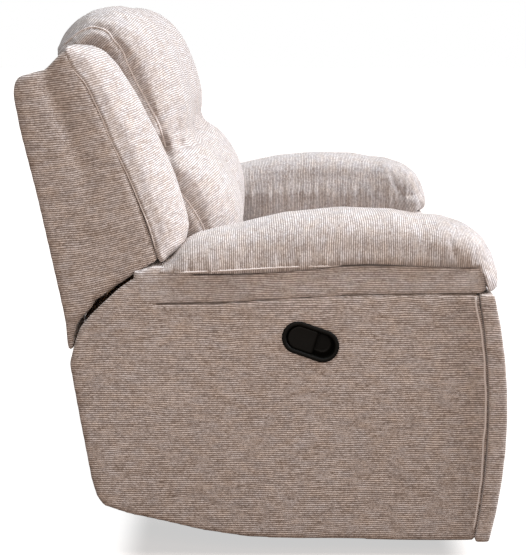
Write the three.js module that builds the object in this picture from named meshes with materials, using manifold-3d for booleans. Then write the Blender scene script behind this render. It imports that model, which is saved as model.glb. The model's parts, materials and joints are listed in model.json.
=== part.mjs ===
// A two seat reclining sofa: padded arms with pull handles, backs that reach over the arms, and footrests.
// Millimetres. +X is the sitter's left, the front faces -Y, +Z is up, and the floor is at Z = 0.
import * as THREE from 'three';
import { mergeVertices } from 'three/addons/utils/BufferGeometryUtils.js';
import Module from 'manifold-3d';

const wasm = await Module();
wasm.setup();

// Whole sofa
const WIDTH = 1520;
const DEPTH = 934;
const FIT = 0.3;
const CUT_OVERRUN = 5;
const FRONT_Y = -DEPTH / 2;
const REAR_Y = DEPTH / 2;

// Arms
const ARM_WIDTH = 220;
const BACK_OVERHANG = 99;
const ARM_REAR_RUN = 200;
const ARM_BASE = 29;
const PANEL_RISE = 485;
const FACING_DEPTH = 35;
const FRONT_BOW = 22.5;
const FACING_BOW = 30;
const FACING_ROUND = 9;
const PANEL_SETBACK = 12;
const PANEL_THICKNESS = 22;
const CORE_SETBACK = 6;
const INNER_PANEL_THICKNESS = 16;
const INNER_PANEL_BASE = 130;
const BORDER_SETBACK = 18;
const BORDER_FRONT_GAP = 10;
const PAD_RISE = 116;
const PAD_BELLY = 108;
const PAD_FOOT_SHARE = 0.94;
const PAD_SIDE_SHARE = 0.12;
const PAD_FULLNESS = 0.7;

// Handle in the outer arm panel
const HANDLE_SETBACK = 342;
const HANDLE_DROP = 91;
const HANDLE_TILT_DEG = 19.5;
const BEZEL_LENGTH = 113;
const BEZEL_HEIGHT = 64;
const BEZEL_LIP = 6;
const BEZEL_PROUD = 4;
const CUP_DEPTH = 36;
const CUP_WALL = 3;
const PADDLE_LENGTH = 58;
const PADDLE_THICKNESS = 4;
const PADDLE_BARREL_RADIUS = 4;
const PADDLE_RUN = 0.7;
const PADDLE_SWING_GAP = 2;
const CABLE_RADIUS = 3;
const CABLE_STEPS = 22;
const CABLE_SIDES = 4;

// Backs
const BACK_DEPTH = 426;
const BACK_OUTER_SETBACK = 30;
const BACK_SPLIT = 8;
const BACK_DROP = 86;
const BACK_RISE = 630;
const BACK_LEAN_SHARES = [0.6595, 0.086];
const PIVOT_SETBACK = 209;
const PIVOT_Z = 270;
const PIVOT_PIN_RADIUS = 8;
const FRAME_DEPTH = 45;
const BACK_TOP_SHARE = 0.8;
const FRAME_TOP_DROP = 27;
const POST_WIDTH = 30;
const BACK_BOARD_THICKNESS = 20;
const BACK_BOARD_ROWS = 8;
const BACK_SLOT_SHARE = 0.6;
const HEAD_SIDE_SHARE = 0.72;
const LUMBAR_SIDE_SHARE = 0.8;
const WING_INNER_GAP = 16;
const BOLSTER_STEPS = 10;
const BOLSTER_WIDTH_FULLNESS = 0.8;
const BOLSTER_DEPTH_FULLNESS = 0.6;
const APRON_SETBACK = 72;
const APRON_THICKNESS = 18;
const APRON_BASE = 70;
const APRON_TOP = 300;
const SKIRT_BASE = 310;
const SKIRT_THICKNESS = 7;
const SKIRT_SIDE_GAP = 6;

// Seats
const SEAT_TOP = 492;
const CUSHION_GAP = 10;
const CUSHION_THICKNESS = 142;
const CUSHION_FRONT_SETBACK = 26;
const CUSHION_REAR_GAP = 4;
const CUSHION_SIDE_SHARE = 0.86;
const LINKAGE_ROOM = 89.4;
const SEAT_FRAME_FRONT_SETBACK = 117;
const SEAT_FRAME_REAR_GAP = 108;
const SEAT_FRAME_RISE = 60;
const SEAT_FRAME_TOP = 345;
const SEAT_RAIL = 25;
const FRONT_RAIL_SIDE_GAP = 3.3;
const FRONT_RAIL_DEPTH = 27;
const FRONT_RAIL_BASE = 303;
const FRONT_RAIL_TOP = 349;
const SPRING_WIRE_RADIUS = 2;
const SPRING_SWING = 18;
const SPRING_BENDS = 10;
const SPRING_SPACING = 140;
const WIRE_SIDES = 6;

// Mechanism
const TUBE = 25;
const GLIDE_RISE = 10;
const GLIDE_RADIUS = 18;
const FRONT_TUBE_SETBACK = 277;
const REAR_TUBE_AHEAD = 8;
const MIDDLE_TUBE_AHEAD = 210;
const RAIL_INSET = 50.6;
const RAIL_FRONT_OVERHANG = 40;
const RAIL_REAR_OVERHANG = 35;
const BRACKET_THICKNESS = 4;
const BRACKET_WIDTH = 50;
const BRACKET_TOP = 120;
const UPRIGHT_THICKNESS = 6;
const UPRIGHT_WIDTH = 50;
const PIN_RADIUS = 5;
const PIN_PLAY = 0.6;
const PLATE_THICKNESS = 4;
const PLATE_SETBACK = 88;
const PLATE_TOP = 340;
const PLATE_FLANGE_SHARE = 0.1;
const CROSS_TUBE_RADIUS = 11;
const CROSS_TUBE_Z = 230;

// Footrest linkage: angles from straight ahead, up is positive
const LINK_LENGTH = 285;
const LINK_WIDTH = 24;
const LINK_THICKNESS = 4;
const LAYER_PITCH = 6;
const LAYER_CLEARANCE = 1.4;
const LINK_PIVOT_INSET = 25.5;
const LINK_PIVOT_Z = 312;
const REAR_LINK_STOWED_DEG = -78;
const CROSS_LINK_STOWED_DEG = 78;
const OTTOMAN_GAP = 30;
const OTTOMAN_RISE = 255;
const OTTOMAN_BASE = 46;
const BOARD_THICKNESS = 15;
const OTTOMAN_PAD_DEPTH = 50;
const BOARD_STANDOFF = 30;
const BOARD_LINK_GAP = 2;
const OTTOMAN_SIDE_SHARE = 0.9;

// Faces round pins, holes and soft sections
const ROUND_SIDES = 10;
const PAD_SIDES = 12;
const CROWN_STATIONS = 9;
const CURVE_STEPS = 8;

const ARM_FRONT = FRONT_Y + FACING_DEPTH;
const ARM_REAR = REAR_Y - BACK_OVERHANG;
const ARM_DEPTH = ARM_REAR - ARM_FRONT;
const ARM_OUTER = WIDTH / 2;
const ARM_INNER = ARM_OUTER - ARM_WIDTH;
const ARM_MIDDLE = ARM_OUTER - ARM_WIDTH / 2;
const PANEL_OUTER = ARM_OUTER - PANEL_SETBACK;
const PANEL_INNER = PANEL_OUTER - PANEL_THICKNESS;
const CORE_INNER = ARM_INNER + INNER_PANEL_THICKNESS + FIT;
const PANEL_TOP = ARM_BASE + PANEL_RISE;
const HANDLE_Y = ARM_FRONT + HANDLE_SETBACK;
const HANDLE_Z = PANEL_TOP - HANDLE_DROP;

const BACK_FRONT = REAR_Y - BACK_DEPTH;
const BACK_BASE = PANEL_TOP - BACK_DROP;
const FRAME_TOP = BACK_BASE + BACK_TOP_SHARE * BACK_RISE - FRAME_TOP_DROP;
const PIVOT_Y = REAR_Y - PIVOT_SETBACK;
const BACK_LEAN = BACK_FRONT + BACK_LEAN_SHARES[0] * BACK_DEPTH - PIVOT_Y - FRAME_DEPTH / 2;
const BACK_SLOPE = BACK_LEAN / (BACK_BASE + BACK_LEAN_SHARES[1] * BACK_RISE - PIVOT_Z);
const APRON_FRONT = PIVOT_Y + APRON_SETBACK;

const SEAT_PITCH = ARM_OUTER - ARM_WIDTH;
const CUSHION_WIDTH = SEAT_PITCH - CUSHION_GAP;
const CUSHION_FRONT = FRONT_Y + CUSHION_FRONT_SETBACK;
const CUSHION_DEPTH = BACK_FRONT - CUSHION_REAR_GAP - CUSHION_FRONT;
const SEAT_FRAME_WIDTH = SEAT_PITCH - LINKAGE_ROOM;
const SEAT_FRAME_FRONT = FRONT_Y + SEAT_FRAME_FRONT_SETBACK;
const SEAT_FRAME_REAR = PIVOT_Y - SEAT_FRAME_REAR_GAP;
const FRONT_RAIL_WIDTH = SEAT_FRAME_WIDTH - 2 * FRONT_RAIL_SIDE_GAP;

const RAIL_SPACING = SEAT_FRAME_WIDTH - RAIL_INSET;
const FRONT_TUBE_Y = FRONT_Y + FRONT_TUBE_SETBACK;
const REAR_TUBE_Y = PIVOT_Y - REAR_TUBE_AHEAD;
const MIDDLE_TUBE_Y = REAR_TUBE_Y - MIDDLE_TUBE_AHEAD;
const RAIL_FRONT = FRONT_TUBE_Y - RAIL_FRONT_OVERHANG;
const RAIL_REAR = REAR_TUBE_Y + RAIL_REAR_OVERHANG;
const PLATE_FRONT = SEAT_FRAME_FRONT + PLATE_SETBACK;
const PLATE_REAR = SEAT_FRAME_REAR;
const CROSS_TUBE_Y = (PLATE_FRONT + PLATE_REAR) / 2;
const LINK_PIVOT_Y = PLATE_FRONT + LINK_PIVOT_INSET;
const OTTOMAN_WIDTH = SEAT_PITCH - OTTOMAN_GAP;

const sofa = new THREE.Group();

const finish = {
  cover: { color: 0xb9aba0, roughness: 0.95, metalness: 0 },
  panelCover: { color: 0xa5958a, roughness: 0.95, metalness: 0 },
  blackPlastic: { color: 0x1b1b1c, roughness: 0.4, metalness: 0 },
  steel: { color: 0x3a3b3d, roughness: 0.45, metalness: 0.8 },
  wire: { color: 0x8a8c8e, roughness: 0.35, metalness: 0.9 },
  wood: { color: 0xb08a5c, roughness: 0.8, metalness: 0 },
  rubber: { color: 0x222222, roughness: 0.8, metalness: 0 },
};

function add(name, geometry, look) {
  const mesh = new THREE.Mesh(geometry, new THREE.MeshStandardMaterial(finish[look]));
  mesh.name = name;
  sofa.add(mesh);
}

// Geometry helpers

function bare(geometry) {
  const plain = geometry.index ? geometry.toNonIndexed() : geometry.clone();
  plain.deleteAttribute('normal');
  plain.deleteAttribute('uv');
  return plain;
}

function signedVolume(geometry) {
  const place = geometry.getAttribute('position');
  const order = geometry.index ? geometry.index.array : [...Array(place.count).keys()];
  const corners = [new THREE.Vector3(), new THREE.Vector3(), new THREE.Vector3()];
  let total = 0;
  for (let face = 0; face < order.length; face += 3) {
    corners.forEach((corner, k) => corner.fromBufferAttribute(place, order[face + k]));
    total += corners[0].dot(corners[1].clone().cross(corners[2]));
  }
  return total / 6;
}

function facingOut(geometry) {
  const solid = mergeVertices(bare(geometry));
  if (signedVolume(solid) < 0) {
    const order = solid.index.array;
    for (let face = 0; face < order.length; face += 3) {
      [order[face + 1], order[face + 2]] = [order[face + 2], order[face + 1]];
    }
  }
  solid.computeVertexNormals();
  return solid;
}

function toSolid(geometry) {
  const closed = facingOut(geometry);
  return new wasm.Manifold(new wasm.Mesh({
    numProp: 3,
    vertProperties: new Float32Array(closed.getAttribute('position').array),
    triVerts: new Uint32Array(closed.index.array),
  }));
}

function fromSolid(solid) {
  const cut = solid.getMesh();
  const geometry = new THREE.BufferGeometry();
  geometry.setAttribute('position', new THREE.BufferAttribute(new Float32Array(cut.vertProperties), 3));
  geometry.setIndex([...cut.triVerts]);
  geometry.computeVertexNormals();
  return geometry;
}

function join(geometries) {
  return fromSolid(geometries.map(toSolid).reduce((whole, piece) => whole.add(piece)));
}

function cutFrom(geometry, tools) {
  return fromSolid(tools.map(toSolid).reduce((whole, tool) => whole.subtract(tool), toSolid(geometry)));
}

// A box from its lowest and highest corners
function block(x0, x1, y0, y1, z0, z1) {
  return new THREE.BoxGeometry(Math.abs(x1 - x0), y1 - y0, z1 - z0)
    .translate((x0 + x1) / 2, (y0 + y1) / 2, (z0 + z1) / 2);
}

// A side profile in Y and Z, carried across from one X to another
function across(outline, x0, x1, holes = []) {
  const corners = outline.map(([y, z]) => new THREE.Vector2(y, z));
  if (THREE.ShapeUtils.isClockWise(corners)) corners.reverse();
  const shape = new THREE.Shape(corners);
  holes.forEach((hole) => {
    shape.holes.push(new THREE.Path(hole.map(([y, z]) => new THREE.Vector2(y, z))));
  });
  const low = Math.min(x0, x1);
  const geometry = new THREE.ExtrudeGeometry(shape, { depth: Math.abs(x1 - x0), bevelEnabled: false });
  const turn = new THREE.Matrix4().set(0, 0, 1, low, 1, 0, 0, 0, 0, 1, 0, 0, 0, 0, 0, 1);
  return facingOut(geometry.applyMatrix4(turn));
}

// A pin or a tube along X
function rod(radius, x0, x1, y, z, sides = ROUND_SIDES) {
  return facingOut(new THREE.CylinderGeometry(radius, radius, Math.abs(x1 - x0), sides)
    .rotateZ(Math.PI / 2).translate((x0 + x1) / 2, y, z));
}

// A round hole's ring in Y and Z
function roundHole(place, radius) {
  const ring = [];
  for (let k = 0; k < ROUND_SIDES; k += 1) {
    const angle = (2 * Math.PI * k) / ROUND_SIDES;
    ring.push([place[0] + radius * Math.cos(angle), place[1] + radius * Math.sin(angle)]);
  }
  return ring;
}

// A smooth stretch through hand-set points
function smooth(points, steps) {
  const curve = new THREE.SplineCurve(points.map(([y, z]) => new THREE.Vector2(y, z)));
  return curve.getPoints(steps).map((point) => [point.x, point.y]);
}

// A closed body through rings of equal count, with a fan over each end ring
function loft(rings) {
  const count = rings[0].length;
  const middle = (ring) => ring.reduce((sum, p) => sum.add(p), new THREE.Vector3())
    .divideScalar(count);
  const corners = rings.flat();
  corners.push(middle(rings[0]), middle(rings[rings.length - 1]));
  const order = [];
  for (let k = 0; k + 1 < rings.length; k += 1) {
    for (let j = 0; j < count; j += 1) {
      const a = k * count + j;
      const b = k * count + ((j + 1) % count);
      order.push(a, b, b + count, a, b + count, a + count);
    }
  }
  const last = (rings.length - 1) * count;
  for (let j = 0; j < count; j += 1) {
    const next = (j + 1) % count;
    order.push(corners.length - 2, next, j, corners.length - 1, last + j, last + next);
  }
  const geometry = new THREE.BufferGeometry().setFromPoints(corners);
  geometry.setIndex(order);
  return facingOut(geometry);
}

// How full a crowned cushion is across its width: endShare at both sides, 1 in the middle
function crown(place, endShare) {
  return endShare + (1 - endShare) * Math.sqrt(1 - Math.abs(place) ** 3);
}

// A cushion whose side profile swells from its boxed sides to its middle
function cushion(profile, centre, x0, x1, endShare) {
  const rings = [];
  for (let k = 0; k < CROWN_STATIONS; k += 1) {
    const place = -Math.cos((Math.PI * k) / (CROWN_STATIONS - 1));
    const full = crown(place, endShare);
    const x = (x0 + x1) / 2 + (place * (x1 - x0)) / 2;
    rings.push(profile.map(([y, z]) => new THREE.Vector3(
      x,
      centre[0] + (y - centre[0]) * full,
      centre[1] + (z - centre[1]) * full,
    )));
  }
  return loft(rings);
}

// Arms

// Shares of the arm's depth: a longer arm stretches ahead of the knee and keeps its sloping rear
const KNEE_SHARE = 0.75;

function armY(share) {
  if (share > KNEE_SHARE) return ARM_REAR - ((1 - share) / (1 - KNEE_SHARE)) * ARM_REAR_RUN;
  return ARM_FRONT + (share / KNEE_SHARE) * (ARM_DEPTH - ARM_REAR_RUN);
}

const armPoint = ([a, b]) => [armY(a), ARM_BASE + b * PANEL_RISE];
const PANEL_TOP_SHARES = [[0.104, 1.0], [0.325, 0.994], [0.547, 0.973], [0.642, 0.963], [0.796, 0.961]];
const EAR_SHARES = [[0.805, 0.965], [0.812, 1.012], [0.818, 1.060], [0.826, 1.074]];
const SLOPE_SHARES = [[0.840, 1.066], [0.875, 1.031], [0.924, 0.957], [0.971, 0.876], [0.989, 0.796],
  [1.0, 0.724]];
const REAR_SHARES = [[0.979, 0.499], [0.953, 0.254], [0.941, 0.184], [0.925, 0.146]];
const BOTTOM_SHARES = [[0.863, 0.109], [0.814, 0.091], [0.693, 0.045], [0.573, 0.016], [0.450, 0.006],
  [0.207, 0.0], [0.060, 0.0]];
const CORE_HOLE_SHARES = [[0.062, 0.085], [0.045, 0.425], [0.060, 0.930], [0.325, 0.932], [0.547, 0.911],
  [0.796, 0.899], [0.895, 0.893], [0.930, 0.806], [0.948, 0.713], [0.937, 0.499], [0.912, 0.270],
  [0.896, 0.204], [0.814, 0.167], [0.693, 0.122], [0.573, 0.093], [0.450, 0.085]];
const SEAM_SHARE = 1.078;

// Stations of the pad from its rear tail to its front tip: place along the arm, lower edge, upper edge
// and width, as shares of the arm's depth, the pad's rise twice, and the pad's belly
const PAD_SHARES = [
  [0.819, 0.01, 0.06, 0.80],
  [0.795, 0.0, 0.09, 0.90],
  [0.755, 0.0, 0.24, 0.96],
  [0.735, 0.0, 0.41, 0.97],
  [0.715, 0.0, 0.52, 0.98],
  [0.690, 0.0, 0.60, 0.99],
  [0.645, 0.0, 0.685, 1.0],
  [0.595, 0.0, 0.75, 1.0],
  [0.484, 0.06, 0.92, 1.0],
  [0.350, 0.14, 1.0, 1.0],
  [0.231, 0.14, 0.99, 1.0],
  [0.115, 0.13, 0.82, 1.0],
  [0.055, 0.11, 0.64, 0.99],
  [0.024, 0.11, 0.49, 0.97],
  [0.014, -0.322, 0.41, 0.95],
  [-0.006, -0.322, 0.26, 0.88],
  [-0.022, -0.24, 0.06, 0.74],
];

// The pad's lower edge from front to rear, which the border and the inner panel meet
function seamLine(frontY, rearY) {
  const seam = ARM_BASE + PANEL_RISE * SEAM_SHARE;
  return PAD_SHARES.map(([along, low]) => [armY(along), seam + low * PAD_RISE])
    .filter(([y]) => y > frontY && y < rearY).reverse();
}

// A front edge that bows forward: front at its middle, and further back by bow at both ends
function bowed(front, bow, base, rise) {
  const points = [];
  for (let k = 0; k <= CURVE_STEPS; k += 1) {
    const share = k / CURVE_STEPS;
    points.push([front + bow * (2 * share - 1) ** 2, base + rise * share]);
  }
  return points;
}

function armOutline(setback) {
  const front = bowed(ARM_FRONT + setback / 2, FRONT_BOW, ARM_BASE + setback, PANEL_RISE - setback);
  const rear = [...smooth(SLOPE_SHARES.map(armPoint), CURVE_STEPS), ...REAR_SHARES.map(armPoint)]
    .map(([y, z]) => [y - setback, z]);
  const bottom = BOTTOM_SHARES.map(armPoint).map(([y, z]) => [y - setback, z + setback]);
  return [...front, ...PANEL_TOP_SHARES.map(armPoint), ...EAR_SHARES.map(armPoint), ...rear, ...bottom];
}

const handleTurn = THREE.MathUtils.degToRad(HANDLE_TILT_DEG);

// A point of the handle: u runs towards the front along its length, v is up
function handlePoint(x, u, v) {
  const y = HANDLE_Y - u * Math.cos(handleTurn) - v * Math.sin(handleTurn);
  const z = HANDLE_Z - u * Math.sin(handleTurn) + v * Math.cos(handleTurn);
  return new THREE.Vector3(x, y, z);
}

// A ring round the handle, inside its outline by shrink and moved towards the front by slide
function ovalRing(x, shrink, slide = 0) {
  const radius = BEZEL_HEIGHT / 2 - shrink;
  const reach = (BEZEL_LENGTH - BEZEL_HEIGHT) / 2;
  const ring = [];
  for (let k = 0; k < 2 * ROUND_SIDES; k += 1) {
    const angle = (2 * Math.PI * (k + 0.5)) / (2 * ROUND_SIDES);
    const u = Math.sign(Math.cos(angle)) * reach + radius * Math.cos(angle) + slide;
    ring.push(handlePoint(x, u, radius * Math.sin(angle)));
  }
  return ring;
}

function sidePanel(s) {
  const hole = ovalRing(0, BEZEL_LIP - FIT).map((point) => [point.y, point.z]);
  return across(armOutline(0), s * PANEL_OUTER, s * PANEL_INNER, [hole]);
}

function armCore(s) {
  const hole = CORE_HOLE_SHARES.map(armPoint);
  return across(armOutline(CORE_SETBACK), s * (PANEL_INNER - FIT), s * CORE_INNER, [hole]);
}

function innerPanel(s) {
  const front = bowed(ARM_FRONT + CORE_SETBACK, FRONT_BOW, ARM_BASE, PANEL_RISE)
    .filter(([, z]) => z > INNER_PANEL_BASE);
  const ear = armPoint(EAR_SHARES[EAR_SHARES.length - 1]);
  const top = seamLine(front[front.length - 1][0], ear[0] - CORE_SETBACK).map(([y, z]) => [y, z - FIT]);
  const rear = [...SLOPE_SHARES, ...REAR_SHARES].map(armPoint).filter(([, z]) => z > INNER_PANEL_BASE)
    .map(([y, z]) => [y - CORE_SETBACK, z]);
  const low = [front[0][0], INNER_PANEL_BASE];
  const lowRear = [rear[rear.length - 1][0] - CORE_SETBACK, INNER_PANEL_BASE];
  return across([low, ...front, ...top, ...rear, lowRear], s * ARM_INNER,
    s * (ARM_INNER + INNER_PANEL_THICKNESS));
}

function border(s) {
  const under = PANEL_TOP_SHARES.map(armPoint).map(([y, z]) => [y, z + FIT]);
  const front = ARM_FRONT + FRONT_BOW + BORDER_FRONT_GAP;
  const ear = EAR_SHARES.slice(0, -1).map(armPoint).map(([y, z]) => [y - 2 * FIT, z]);
  const rear = ear[ear.length - 1][0];
  const over = seamLine(front, rear).map(([y, z]) => [y, z - FIT]).reverse();
  return across([[front, PANEL_TOP + FIT], ...under, ...ear, [rear, over[0][1]], ...over,
    [front, over[over.length - 1][1]]], s * (ARM_OUTER - BORDER_SETBACK), s * CORE_INNER);
}

function armPad(s) {
  const seam = ARM_BASE + PANEL_RISE * SEAM_SHARE;
  const rings = PAD_SHARES.map(([along, low, high, wide]) => {
    const y = armY(along);
    const base = seam + low * PAD_RISE;
    const rise = (high - low) * PAD_RISE;
    const ring = [];
    for (let k = 0; k <= PAD_SIDES; k += 1) {
      const angle = (Math.PI * k) / PAD_SIDES;
      const out = Math.sign(Math.cos(angle)) * Math.abs(Math.cos(angle)) ** PAD_FULLNESS * PAD_BELLY * wide;
      const up = PAD_SIDE_SHARE + (1 - PAD_SIDE_SHARE) * Math.sin(angle) ** PAD_FULLNESS;
      ring.push(new THREE.Vector3(s * ARM_MIDDLE + out, y, base + rise * up));
    }
    const foot = PAD_FOOT_SHARE * PAD_BELLY * wide;
    [-foot, foot].forEach((out) => ring.push(new THREE.Vector3(s * ARM_MIDDLE + out, y, base)));
    return ring;
  });
  return loft(rings);
}

function facing(s) {
  const rear = bowed(ARM_FRONT - FIT, FRONT_BOW, ARM_BASE, PANEL_RISE);
  const front = bowed(FRONT_Y, FACING_BOW, ARM_BASE, PANEL_RISE).reverse();
  const outline = [...rear, ...front];
  const middle = [ARM_FRONT, ARM_BASE + PANEL_RISE / 2];
  const shrink = (amount) => outline.map(([y, z], k) => [
    k < rear.length ? y : y + amount,
    z + ((middle[1] - z) * amount) / (PANEL_RISE / 2),
  ]);
  const stations = [[0, FACING_ROUND], [FACING_ROUND / 3, FACING_ROUND / 3], [FACING_ROUND, 0]];
  const places = [...stations, ...stations.slice().reverse().map(([x, a]) => [ARM_WIDTH - x, a])];
  return loft(places.map(([x, amount]) => shrink(amount)
    .map(([y, z]) => new THREE.Vector3(s * (ARM_INNER + x), y, z))));
}

function handleCup(s) {
  const lip = PANEL_OUTER + FIT;
  const outer = lip + BEZEL_PROUD;
  const back = outer - CUP_DEPTH;
  const body = BEZEL_LIP + FIT;
  const inner = BEZEL_LIP + CUP_WALL;
  const stations = [[back, body + CUP_WALL], [back + CUP_WALL, body], [lip, body], [lip, 0],
    [outer - BEZEL_PROUD / 2, 0], [outer, CUP_WALL / 2], [outer, inner - CUP_WALL / 2],
    [outer - BEZEL_PROUD, inner], [outer - BEZEL_PROUD - 4 * PADDLE_BARREL_RADIUS, inner],
    [back + 2 * CUP_WALL, inner + CUP_WALL], [back + CUP_WALL, inner + 2 * CUP_WALL]];
  return loft(stations.map(([x, shrink]) => ovalRing(s * x, shrink)));
}

function paddle(s) {
  const wall = BEZEL_LIP + CUP_WALL + PADDLE_RUN;
  const face = PANEL_OUTER + FIT;
  const rearEnd = -BEZEL_LENGTH / 2 + wall;
  const hinge = rearEnd + 2 * PADDLE_BARREL_RADIUS;
  const tip = rearEnd + PADDLE_LENGTH;
  const plate = [[rearEnd - CUT_OVERRUN, 0], [tip - PADDLE_THICKNESS, 0], [tip, -PADDLE_THICKNESS],
    [tip, -2 * PADDLE_THICKNESS], [tip - PADDLE_THICKNESS, -2 * PADDLE_THICKNESS],
    [tip - 2 * PADDLE_THICKNESS, -PADDLE_THICKNESS], [rearEnd - CUT_OVERRUN, -PADDLE_THICKNESS]];
  const barrel = [];
  for (let k = 0; k < ROUND_SIDES; k += 1) {
    const angle = (2 * Math.PI * k) / ROUND_SIDES;
    barrel.push([hinge + PADDLE_BARREL_RADIUS * Math.cos(angle),
      PADDLE_BARREL_RADIUS * Math.sin(angle) - PADDLE_BARREL_RADIUS - PADDLE_THICKNESS / 2]);
  }
  const half = BEZEL_HEIGHT / 2;
  const prism = (outline) => loft([-half, half].map((v) => outline
    .map(([u, depth]) => handlePoint(s * (face + depth), u, v))));
  const bound = (slide) => loft([face - CUP_DEPTH, face + CUT_OVERRUN]
    .map((x) => ovalRing(s * x, wall, slide)));
  return fromSolid(toSolid(prism(plate)).add(toSolid(prism(barrel)))
    .intersect(toSolid(bound(0))).intersect(toSolid(bound(PADDLE_SWING_GAP))));
}

// The cable's stops from the handle cup to the base rail: first inwards from the arm's outer side, then
// outwards from its inner side, each with its Y and Z
const CABLE_UPPER_STOPS = [[58, -70, 430], [95, -50, 370], [130, 20, 210]];
const CABLE_LOWER_STOPS = [[52, 96, 120], [16, 110, 104], [-2, 110, 94], [-18, 110, 68], [-38, 110, 47]];

function releaseCable(s) {
  const cupBack = PANEL_OUTER + BEZEL_PROUD - CUP_DEPTH - FIT;
  const railFace = SEAT_PITCH / 2 + RAIL_SPACING / 2 + TUBE / 2 + FIT;
  const first = CABLE_UPPER_STOPS[0];
  const last = CABLE_LOWER_STOPS[CABLE_LOWER_STOPS.length - 1];
  const stops = [[cupBack, first[1], first[2]],
    ...CABLE_UPPER_STOPS.map(([inwards, y, z]) => [ARM_OUTER - inwards, y, z]),
    ...CABLE_LOWER_STOPS.map(([outwards, y, z]) => [ARM_INNER + outwards, y, z]),
    [railFace, last[1], last[2]]];
  const route = new THREE.CatmullRomCurve3(stops.map(([x, y, z]) => new THREE.Vector3(s * x, y, z)));
  const section = new THREE.Shape();
  section.absarc(0, 0, CABLE_RADIUS, 0, 2 * Math.PI);
  return facingOut(new THREE.ExtrudeGeometry(section, {
    steps: CABLE_STEPS,
    curveSegments: CABLE_SIDES,
    extrudePath: route,
  }));
}

// Base frame of welded steel, with the pivot uprights of both backs

const POST_OUT = RAIL_SPACING / 2 - TUBE / 2 + 2 * UPRIGHT_THICKNESS;

function pivotUpright(x, side) {
  const half = UPRIGHT_WIDTH / 2;
  const railTop = GLIDE_RISE + 2 * TUBE;
  const outline = [[PIVOT_Y - half, railTop - CUT_OVERRUN], [PIVOT_Y - half, PIVOT_Z]];
  for (let k = 1; k < ROUND_SIDES / 2; k += 1) {
    const angle = Math.PI - (2 * Math.PI * k) / ROUND_SIDES;
    outline.push([PIVOT_Y + half * Math.cos(angle), PIVOT_Z + half * Math.sin(angle)]);
  }
  outline.push([PIVOT_Y + half, PIVOT_Z], [PIVOT_Y + half, railTop - CUT_OVERRUN]);
  const inner = x + side * (POST_OUT - FIT - UPRIGHT_THICKNESS);
  const outer = x + side * (POST_OUT - FIT);
  return [
    across(outline, inner, outer),
    rod(PIVOT_PIN_RADIUS, x + side * (POST_OUT - UPRIGHT_THICKNESS / 2),
      x + side * (POST_OUT + POST_WIDTH), PIVOT_Y, PIVOT_Z),
  ];
}

function baseFrame() {
  const pieces = [];
  const reach = CORE_INNER - FIT;
  const tubeTop = GLIDE_RISE + TUBE;
  const railReach = (SEAT_PITCH + RAIL_SPACING + TUBE) / 2;
  pieces.push(block(-railReach, railReach, REAR_TUBE_Y - TUBE / 2, REAR_TUBE_Y + TUBE / 2, GLIDE_RISE,
    tubeTop));
  [FRONT_TUBE_Y, MIDDLE_TUBE_Y].forEach((y) => {
    pieces.push(block(-reach + FIT, reach - FIT, y - TUBE / 2, y + TUBE / 2, GLIDE_RISE, tubeTop));
    [-1, 1].forEach((s) => pieces.push(block(s * (reach - BRACKET_THICKNESS), s * reach,
      y - BRACKET_WIDTH / 2, y + BRACKET_WIDTH / 2, GLIDE_RISE, BRACKET_TOP)));
  });
  [-1, 1].forEach((s) => [-1, 1].forEach((side) => {
    const x = (s * SEAT_PITCH) / 2 + (side * RAIL_SPACING) / 2;
    pieces.push(block(x - TUBE / 2, x + TUBE / 2, RAIL_FRONT, RAIL_REAR, tubeTop - FIT, tubeTop + TUBE));
    pieces.push(...pivotUpright((s * SEAT_PITCH) / 2, side));
  }));
  [-1, 1].forEach((s) => [-1, 1].forEach((side) => [FRONT_TUBE_Y, REAR_TUBE_Y].forEach((y) => {
    const x = (s * SEAT_PITCH) / 2 + (side * RAIL_SPACING) / 2;
    const rise = GLIDE_RISE + CUT_OVERRUN;
    pieces.push(new THREE.CylinderGeometry(GLIDE_RADIUS, GLIDE_RADIUS, rise, ROUND_SIDES)
      .rotateX(Math.PI / 2).translate(x, y, rise / 2));
  })));
  return join(pieces);
}

// Seat body

function seatFrame(x) {
  const half = SEAT_FRAME_WIDTH / 2 - FIT;
  const front = SEAT_FRAME_FRONT;
  const low = SEAT_FRAME_TOP - SEAT_FRAME_RISE;
  const outer = block(x - half, x + half, front, SEAT_FRAME_REAR, low, SEAT_FRAME_TOP);
  const inner = block(x - half + SEAT_RAIL, x + half - SEAT_RAIL, front + SEAT_RAIL,
    SEAT_FRAME_REAR - SEAT_RAIL, low - CUT_OVERRUN, SEAT_FRAME_TOP + CUT_OVERRUN);
  return cutFrom(outer, [inner]);
}

function seatSprings(x) {
  const front = SEAT_FRAME_FRONT + SPRING_WIRE_RADIUS;
  const pitch = (SEAT_FRAME_REAR - SEAT_FRAME_FRONT - 2 * SPRING_WIRE_RADIUS) / SPRING_BENDS;
  const z = SEAT_FRAME_TOP + FIT + SPRING_WIRE_RADIUS;
  const wires = [-1, 0, 1].map((lane) => {
    const stops = [];
    for (let k = 0; k <= SPRING_BENDS; k += 1) {
      const swing = (k % 2 === 0 ? 1 : -1) * SPRING_SWING;
      const y = front + pitch * k;
      stops.push(new THREE.Vector3(x + lane * SPRING_SPACING + swing, y, z));
    }
    const route = new THREE.CatmullRomCurve3(stops);
    const side = SPRING_WIRE_RADIUS;
    const section = new THREE.Shape([[side, 0], [0, side], [-side, 0], [0, -side]]
      .map(([a, b]) => new THREE.Vector2(a, b)));
    return new THREE.ExtrudeGeometry(section, { steps: 2 * SPRING_BENDS, extrudePath: route });
  });
  const reach = SPRING_SPACING + SPRING_SWING + 2 * SPRING_WIRE_RADIUS;
  const rear = front + pitch * SPRING_BENDS;
  const ties = [front, rear].map((y) => rod(SPRING_WIRE_RADIUS, x - reach, x + reach, y, z, WIRE_SIDES));
  return join([...wires, ...ties]);
}

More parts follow.
